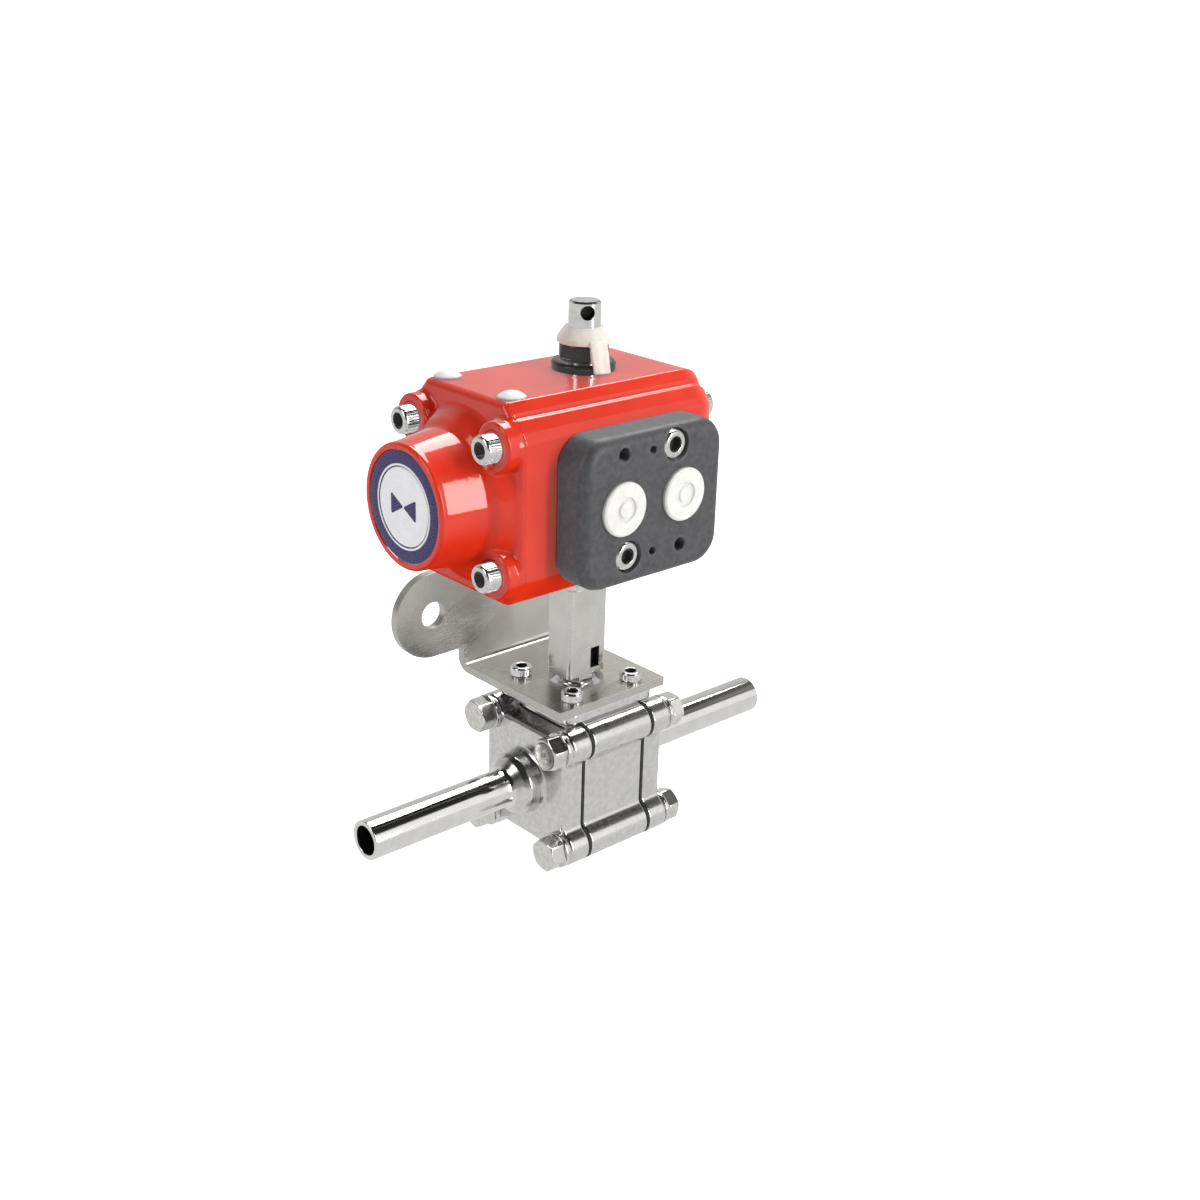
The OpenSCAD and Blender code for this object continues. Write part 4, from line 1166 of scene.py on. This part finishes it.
def build_badge():
    piece("badge_enamel_ring", badge_part(BADGE_RING, hollow=True), "badge_ring", "navy_enamel")
    piece("badge_enamel_disc", badge_part(BADGE_DISC, hollow=False), "badge_disc", "white_enamel")
    # thin pale line near where ring and disc meet
    free_piece("badge_pale_line", badge_part(BADGE_LINE, hollow=True), "valve_and_housing",
               "white_enamel")
    free_piece("badge_valve_symbol", valve_symbol(), "valve_and_housing",
               "navy_enamel")


# ------------------------------------------------------------------ plugs on the top face
DOME_RADIUS = 6.3
DOME_HEIGHT = 2.2
DOME_REACH = 43                  # degrees from the dome's tip to its rim
# rings below the dome: height, radius
PLUG_FOOT = [(-5.5, 1.9), (-5.2, 2.3), (0.0, 2.4), (0.0, 3.2), (0.12, 3.35), (0.45, 3.4),
             (0.52, 3.7), (0.55, 4.05), (0.62, 4.25)]


def build_plugs():
    dome = []
    for i in range(10, 0, -1):
        angle = math.radians(DOME_REACH * i / 10)
        dome.append((DOME_HEIGHT - DOME_RADIUS * (1 - math.cos(angle)),
                     DOME_RADIUS * math.sin(angle)))
    dome[0] = (dome[0][0], 4.3)        # rim
    plug = revolve(PLUG_FOOT + dome, 72)
    plugs = [place(plug, (x, y, TOP_Z), (0, 0, 1)) for x, y, _ in centres("accessory_plugs")]
    piece("domed_accessory_plugs", join(plugs), "accessory_plugs", "white_plastic")


# ------------------------------------------------------------------ position indicator
INDICATOR_SIDES = 120
DRUM_RADIUS = 7.6
WINDOW_FLAT = 7.05               # distance of the window flats from the axis
LEG_AZIMUTH = math.radians(-100)

# outlines: radius, height over the housing's top, corner radius
BASE_CUP = rounded([
    (5.2, 2.2, 0), (6.1, 2.15, 0), (6.2, 1.8, 0), (8.6, 1.8, 0.1), (8.6, 0.12, 0.1),
    (10.0, 0.12, 0.2), (10.0, 2.2, 0.5), (9.3, 2.9, 0.5), (6.02, 2.9, 0.15), (6.02, 2.35, 0),
    (5.2, 2.35, 0)], segments=4)
HOOD = rounded([
    (5.06, 8.27, 0.1), (8.3, 8.27, 0.25), (8.3, 9.9, 0.5), (7.1, 11.8, 1.5), (6.0, 13.4, 0.4),
    (5.06, 13.4, 0.2)], segments=5)
LEG = rounded([
    (7.75, 8.6, 0), (7.75, 3.1, 0.2), (10.1, 3.1, 0.3), (10.1, 0.5, 0.2), (11.7, 0.5, 0.35),
    (8.95, 9.6, 0.5), (8.25, 9.85, 0.2), (7.75, 9.85, 0)], segments=4)


def hood(x, y, z):
    """Round hood with one leg down its side."""
    from_axis, height = np.hypot(x, y), z - TOP_Z
    outward = x * math.cos(LEG_AZIMUTH) + y * math.sin(LEG_AZIMUTH)
    sideways = -x * math.sin(LEG_AZIMUTH) + y * math.cos(LEG_AZIMUTH)
    # half angle of the leg, a little wider towards the top
    half = np.radians(14 + 5.5 * np.clip(height / 9, 0, 1))
    sector = np.abs(sideways) * np.cos(half) - outward * np.sin(half)
    leg = meet(polygon(LEG, from_axis, height), sector, 0.35)
    return fuse(polygon(HOOD, from_axis, height), leg, 0.5)


def drum_rings():
    """Drum with four shallow windows."""
    turn = np.arange(INDICATOR_SIDES) * 360.0 / INDICATOR_SIDES
    from_window = np.radians(((turn - 2 + 45) % 90) - 45)
    flat = np.minimum(DRUM_RADIUS, WINDOW_FLAT / np.maximum(np.cos(from_window), 0.2))
    flat = np.where(np.abs(DRUM_RADIUS * np.sin(from_window)) < 2.8, flat, DRUM_RADIUS)
    return [(2.4, 5.08), (2.4, 5.75), (2.5, 5.9), (3.0, 5.9), (3.0, 7.3), (3.1, 7.5),
            (3.3, DRUM_RADIUS), (3.85, DRUM_RADIUS), (3.95, flat), (7.35, flat),
            (7.45, DRUM_RADIUS), (7.9, DRUM_RADIUS), (8.1, 7.5), (8.2, 7.3), (8.2, 5.08)]


def build_indicator():
    for name, node, rings in (
            ("indicator_base_cup", "indicator_base", rings_of(BASE_CUP)),
            ("indicator_drum_body", "indicator_drum", drum_rings())):
        points, faces = revolve(rings, INDICATOR_SIDES, hollow=True)
        piece(name, (points + [0, 0, TOP_Z], faces), node, "black_plastic")
    lines = grid(-12.4, 12.4, 0.24 * COARSE)
    casting("indicator_hood_cap", "indicator_hood", "cream_plastic", hood,
            lines, lines, grid(TOP_Z - 0.2, TOP_Z + 14, 0.22 * COARSE))


# ------------------------------------------------------------------ bracket, drive and shaft
def build_bracket_and_bar():
    bracket = broken_edges("mounting_bracket", "folded_bracket", "bracket_stainless", width=0.35)
    bar = broken_edges("drive_coupling", "square_drive_bar", "bar_stainless", width=0.3)
    # the red castings would blot the polished tube's long bright and dark streaks, so what
    # stands above 66 mm and is in the scene by now is left out of reflections
    for ob in bpy.context.scene.objects:
        if ob.type == "MESH" and len(ob.data.vertices):
            if min(vert.co.z for vert in ob.data.vertices) > 0.066:
                ob.visible_glossy = False
    bracket.visible_glossy = False
    # painted shade: the upper face of the base plate is coloured darker than the rest of the sheet
    second_finish(bracket, "dull_stainless", lambda at, normal_z: normal_z > 0.9 and at[2] < 40)
    # painted shade: the recess in the bar's front is coloured near black
    low = box("drive_coupling")[0]
    second_finish(bar, "dark_oxide", lambda at, normal_z: (
        1.1 < at[0] < 5.0 and low[1] + 0.05 < at[1] < -2.7 and 1.9 < at[2] - low[2] < 9.1))


CROSS_HOLE_DROP = 3.2            # below the shaft's top
CROSS_HOLE_TURN = math.radians(-31)
# radius, distance along the plug, corner radius
HOLE_SHADE_PLUG = rounded([(0.0, -2.4, 0), (2.1, -2.4, 0.25), (2.1, 2.4, 0.25), (0.0, 2.4, 0)],
                    segments=3)


def build_shaft():
    shaft = broken_edges("pinion", "pinion_shaft", "machined_stainless", width=0.16, segments=2)
    top = box("pinion")[1][2]

    def inside_top(at, normal_z):
        """Walls of the hollow top, and the cross hole."""
        from_axis = math.hypot(at[0], at[1])
        wall = from_axis < 4.5 and abs(normal_z) < 0.999
        hole = abs(at[2] - top + CROSS_HOLE_DROP) < 2.3 and from_axis < 4.7
        return at[2] > top - 7 and (wall or hole)

    # painted shade: the hollow top's walls and the cross hole take the near-black second finish
    second_finish(shaft, "dark_oxide", inside_top)
    # black plug set back inside the cross hole: a dark piece standing in for the shade inside the
    # hole
    shade_plug = place(revolve(rings_of(HOLE_SHADE_PLUG), 48), (0, 0, top - CROSS_HOLE_DROP),
                (-math.sin(CROSS_HOLE_TURN), math.cos(CROSS_HOLE_TURN), 0))
    free_piece("shaft_hole_shade_plug", shade_plug, BODY_OF["pinion"], "dark_oxide")


def build_small_parts():
    for node, name, finish, width in (
            ("packing_gland", "gland_bushing", "machined_stainless", 0.12),
            ("stem_nut", "stem_lock_nut", "machined_stainless", 0.15),
            ("port_gasket", "port_gasket_sheet", "black_rubber", 0.08)):
        broken_edges(node, name, finish, width, segments=2)


def build_spring():
    """Return spring, copied from its CAD node at one fixed length, though the real one shortens as
    the left piston moves out.
    """
    mesh = NODES["return_spring"].data.copy()
    mesh.name = "coil_return_spring"
    ob = add_object("coil_return_spring", mesh)
    smooth(mesh, angle=50)
    settle(ob, "return_spring")
    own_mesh(ob)
    ob.visible_glossy = False


# ------------------------------------------------------------------ floor and world
FLOOR_HALF = 9.0                 # metres
FLOOR_GAP = 0.00002              # metres below the lowest CAD point
WARM_WHITE = (1.0, 0.995, 0.985, 1)


def build_floor():
    mesh = bpy.data.meshes.new("studio_floor")
    z = float(CAD_LOW[2]) - FLOOR_GAP
    corners = ((-1, -1), (1, -1), (1, 1), (-1, 1))
    mesh.from_pydata([(x * FLOOR_HALF, y * FLOOR_HALF, z) for x, y in corners],
                     [], [(0, 1, 2, 3)])
    ob = add_object("studio_floor", mesh)
    paper = bpy.data.materials.new("studio_floor_paper")
    tree = Tree(paper)
    rays = tree.add("LightPath").outputs
    grain = tree.add("TexNoise", {"Scale": 900}).outputs["Fac"]
    relief = tree.add("Bump", {"Strength": 0.15, "Distance": 0.0001, "Height": grain})
    matt = tree.add("BsdfDiffuse", {"Color": (0.86, 0.86, 0.855, 1), "Normal": relief.outputs[0]})
    # the camera sees the paper brightened
    glow = tree.add("Emission", {"Strength": tree.math("MULTIPLY", rays["Is Camera Ray"], 0.76)})
    lit = tree.add("AddShader", {0: matt.outputs[0], 1: glow.outputs[0]})
    # in reflections the paper is evenly bright, without the object's own shadow
    even = tree.add("Emission", {"Color": WARM_WHITE, "Strength": 0.75})
    mix = tree.add("MixShader", {0: rays["Is Glossy Ray"], 1: lit.outputs[0], 2: even.outputs[0]})
    tree.add("OutputMaterial", {0: mix.outputs[0]})
    mesh.materials.append(paper)


def build_world():
    """Separate backgrounds for reflections, diffuse light and the camera."""
    world = bpy.data.worlds.new("studio")
    bpy.context.scene.world = world
    tree = Tree(world)
    direction = tree.add("TexCoord").outputs["Generated"]
    axes = tree.add("SeparateXYZ", {0: direction}).outputs
    z = axes[2]

    def toward(*shares):
        """1 in the direction of the given X, Y and Z shares."""
        parts = [tree.math("MULTIPLY", axis, share) for axis, share in zip(axes, shares)]
        total = parts[0]
        for part in parts[1:]:
            total = tree.math("ADD", total, part)
        return total

    def ramp(value, between, to):
        return tree.span(value, to=to, between=between, interpolation_type="SMOOTHSTEP")

    # bright wall away from the camera, up to a height
    wall = tree.math("MULTIPLY", ramp(toward(0.70, 0.714), between=(-0.05, 0.45), to=(0.0, 1.0)),
                     ramp(z, between=(0.55, 0.80), to=(1.0, 0.0)))
    # camera side and overhead
    side = ramp(z, between=(0.20, 0.50), to=(0.30, 0.02))
    # soft bright patch in front, seen in the tubes and the lobes of the body
    patch = ramp(toward(0.551, -0.816, 0.174), between=(0.875, 0.93), to=(0.0, 0.95))
    level = tree.math("MAXIMUM", tree.math("MULTIPLY", wall, 0.60),
                      tree.math("MAXIMUM", side, patch))

    def background(colour, strength):
        return tree.add("Background", {"Color": colour, "Strength": strength}).outputs[0]

    rays = tree.add("LightPath").outputs
    mix = tree.add("MixShader", {
        0: rays["Is Glossy Ray"],
        1: background(WARM_WHITE, strength=0.36),
        2: background((1.0, 0.99, 0.975, 1), strength=level)})
    mix = tree.add("MixShader", {
        0: rays["Is Camera Ray"],
        1: mix.outputs[0],
        2: background((1, 1, 1, 1), strength=1.0)})
    tree.add("OutputWorld", {0: mix.outputs[0]})


# ------------------------------------------------------------------ lights and camera
LIGHT_AIM = Vector((CENTRE_X * MM, 0, 0.075))


def softbox(name, azimuth, elevation, distance, size, power):
    """Area light aimed at the object. Azimuth 0 is the front and 90 the right, in degrees.

    Distance and size are in metres, power in watts."""
    azimuth, elevation = math.radians(azimuth), math.radians(elevation)
    outward = Vector((math.sin(azimuth) * math.cos(elevation),
                      -math.cos(azimuth) * math.cos(elevation), math.sin(elevation)))
    light = bpy.data.lights.new(name, "AREA")
    light.shape = "RECTANGLE"
    light.size, light.size_y = size
    light.energy = power
    light.color = (1, 0.985, 0.96)
    ob = bpy.data.objects.new(name, light)
    ob.location = LIGHT_AIM + outward * distance
    ob.rotation_mode = "QUATERNION"
    ob.rotation_quaternion = (-outward).to_track_quat("-Z", "Y")
    bpy.context.scene.collection.objects.link(ob)
    return ob


def build_lights():
    softbox("key_strip", azimuth=18, elevation=18, distance=1.0, size=(0.17, 0.95), power=4.5)
    key = softbox("key_soft", azimuth=34, elevation=32, distance=1.0, size=(0.7, 0.7), power=4.0)
    key.visible_glossy = False
    softbox("rear_top", azimuth=126, elevation=53, distance=1.0, size=(0.62, 0.40), power=7)
    softbox("left_fill", azimuth=-100, elevation=30, distance=1.3, size=(0.5, 0.9), power=4.5)


# camera angles in radians, and its place in millimetres from a point on the stem's axis
YAW, PITCH, ROLL = 0.7451, 0.3791, 0.0303
PIVOT_HEIGHT = 60
SHIFT_RIGHT, SHIFT_UP, SHIFT_BACK = 7.1377, -2.0072, 515.677


def build_camera():
    forward = Vector((math.sin(YAW) * math.cos(PITCH), math.cos(YAW) * math.cos(PITCH),
                      -math.sin(PITCH)))
    level = Vector((math.cos(YAW), -math.sin(YAW), 0))
    upright = level.cross(forward)
    right = math.cos(ROLL) * level + math.sin(ROLL) * upright
    up = -math.sin(ROLL) * level + math.cos(ROLL) * upright
    at = (Vector((CENTRE_X, 0, PIVOT_HEIGHT)) + SHIFT_RIGHT * right + SHIFT_UP * up
          - SHIFT_BACK * forward) * MM
    camera = bpy.data.cameras.new("studio_camera")
    camera.sensor_width = 36
    camera.lens = 48.03
    camera.clip_start, camera.clip_end = 0.01, 60
    ob = add_object("studio_camera", camera)
    rows = [(right[i], up[i], -forward[i], at[i]) for i in range(3)]
    ob.matrix_world = Matrix((*rows, (0, 0, 0, 1)))
    bpy.context.scene.camera = ob


# ------------------------------------------------------------------ build everything
build_shell()
build_ports()
build_middle_body()
build_end_fittings()
build_body_bolts()
build_screws()
build_badge()
build_plugs()
build_indicator()
build_bracket_and_bar()
build_shaft()
build_small_parts()
build_spring()
build_floor()
build_world()
build_lights()
build_camera()
bpy.context.scene.view_settings.view_transform = "Standard"
bpy.context.scene.view_settings.look = "None"
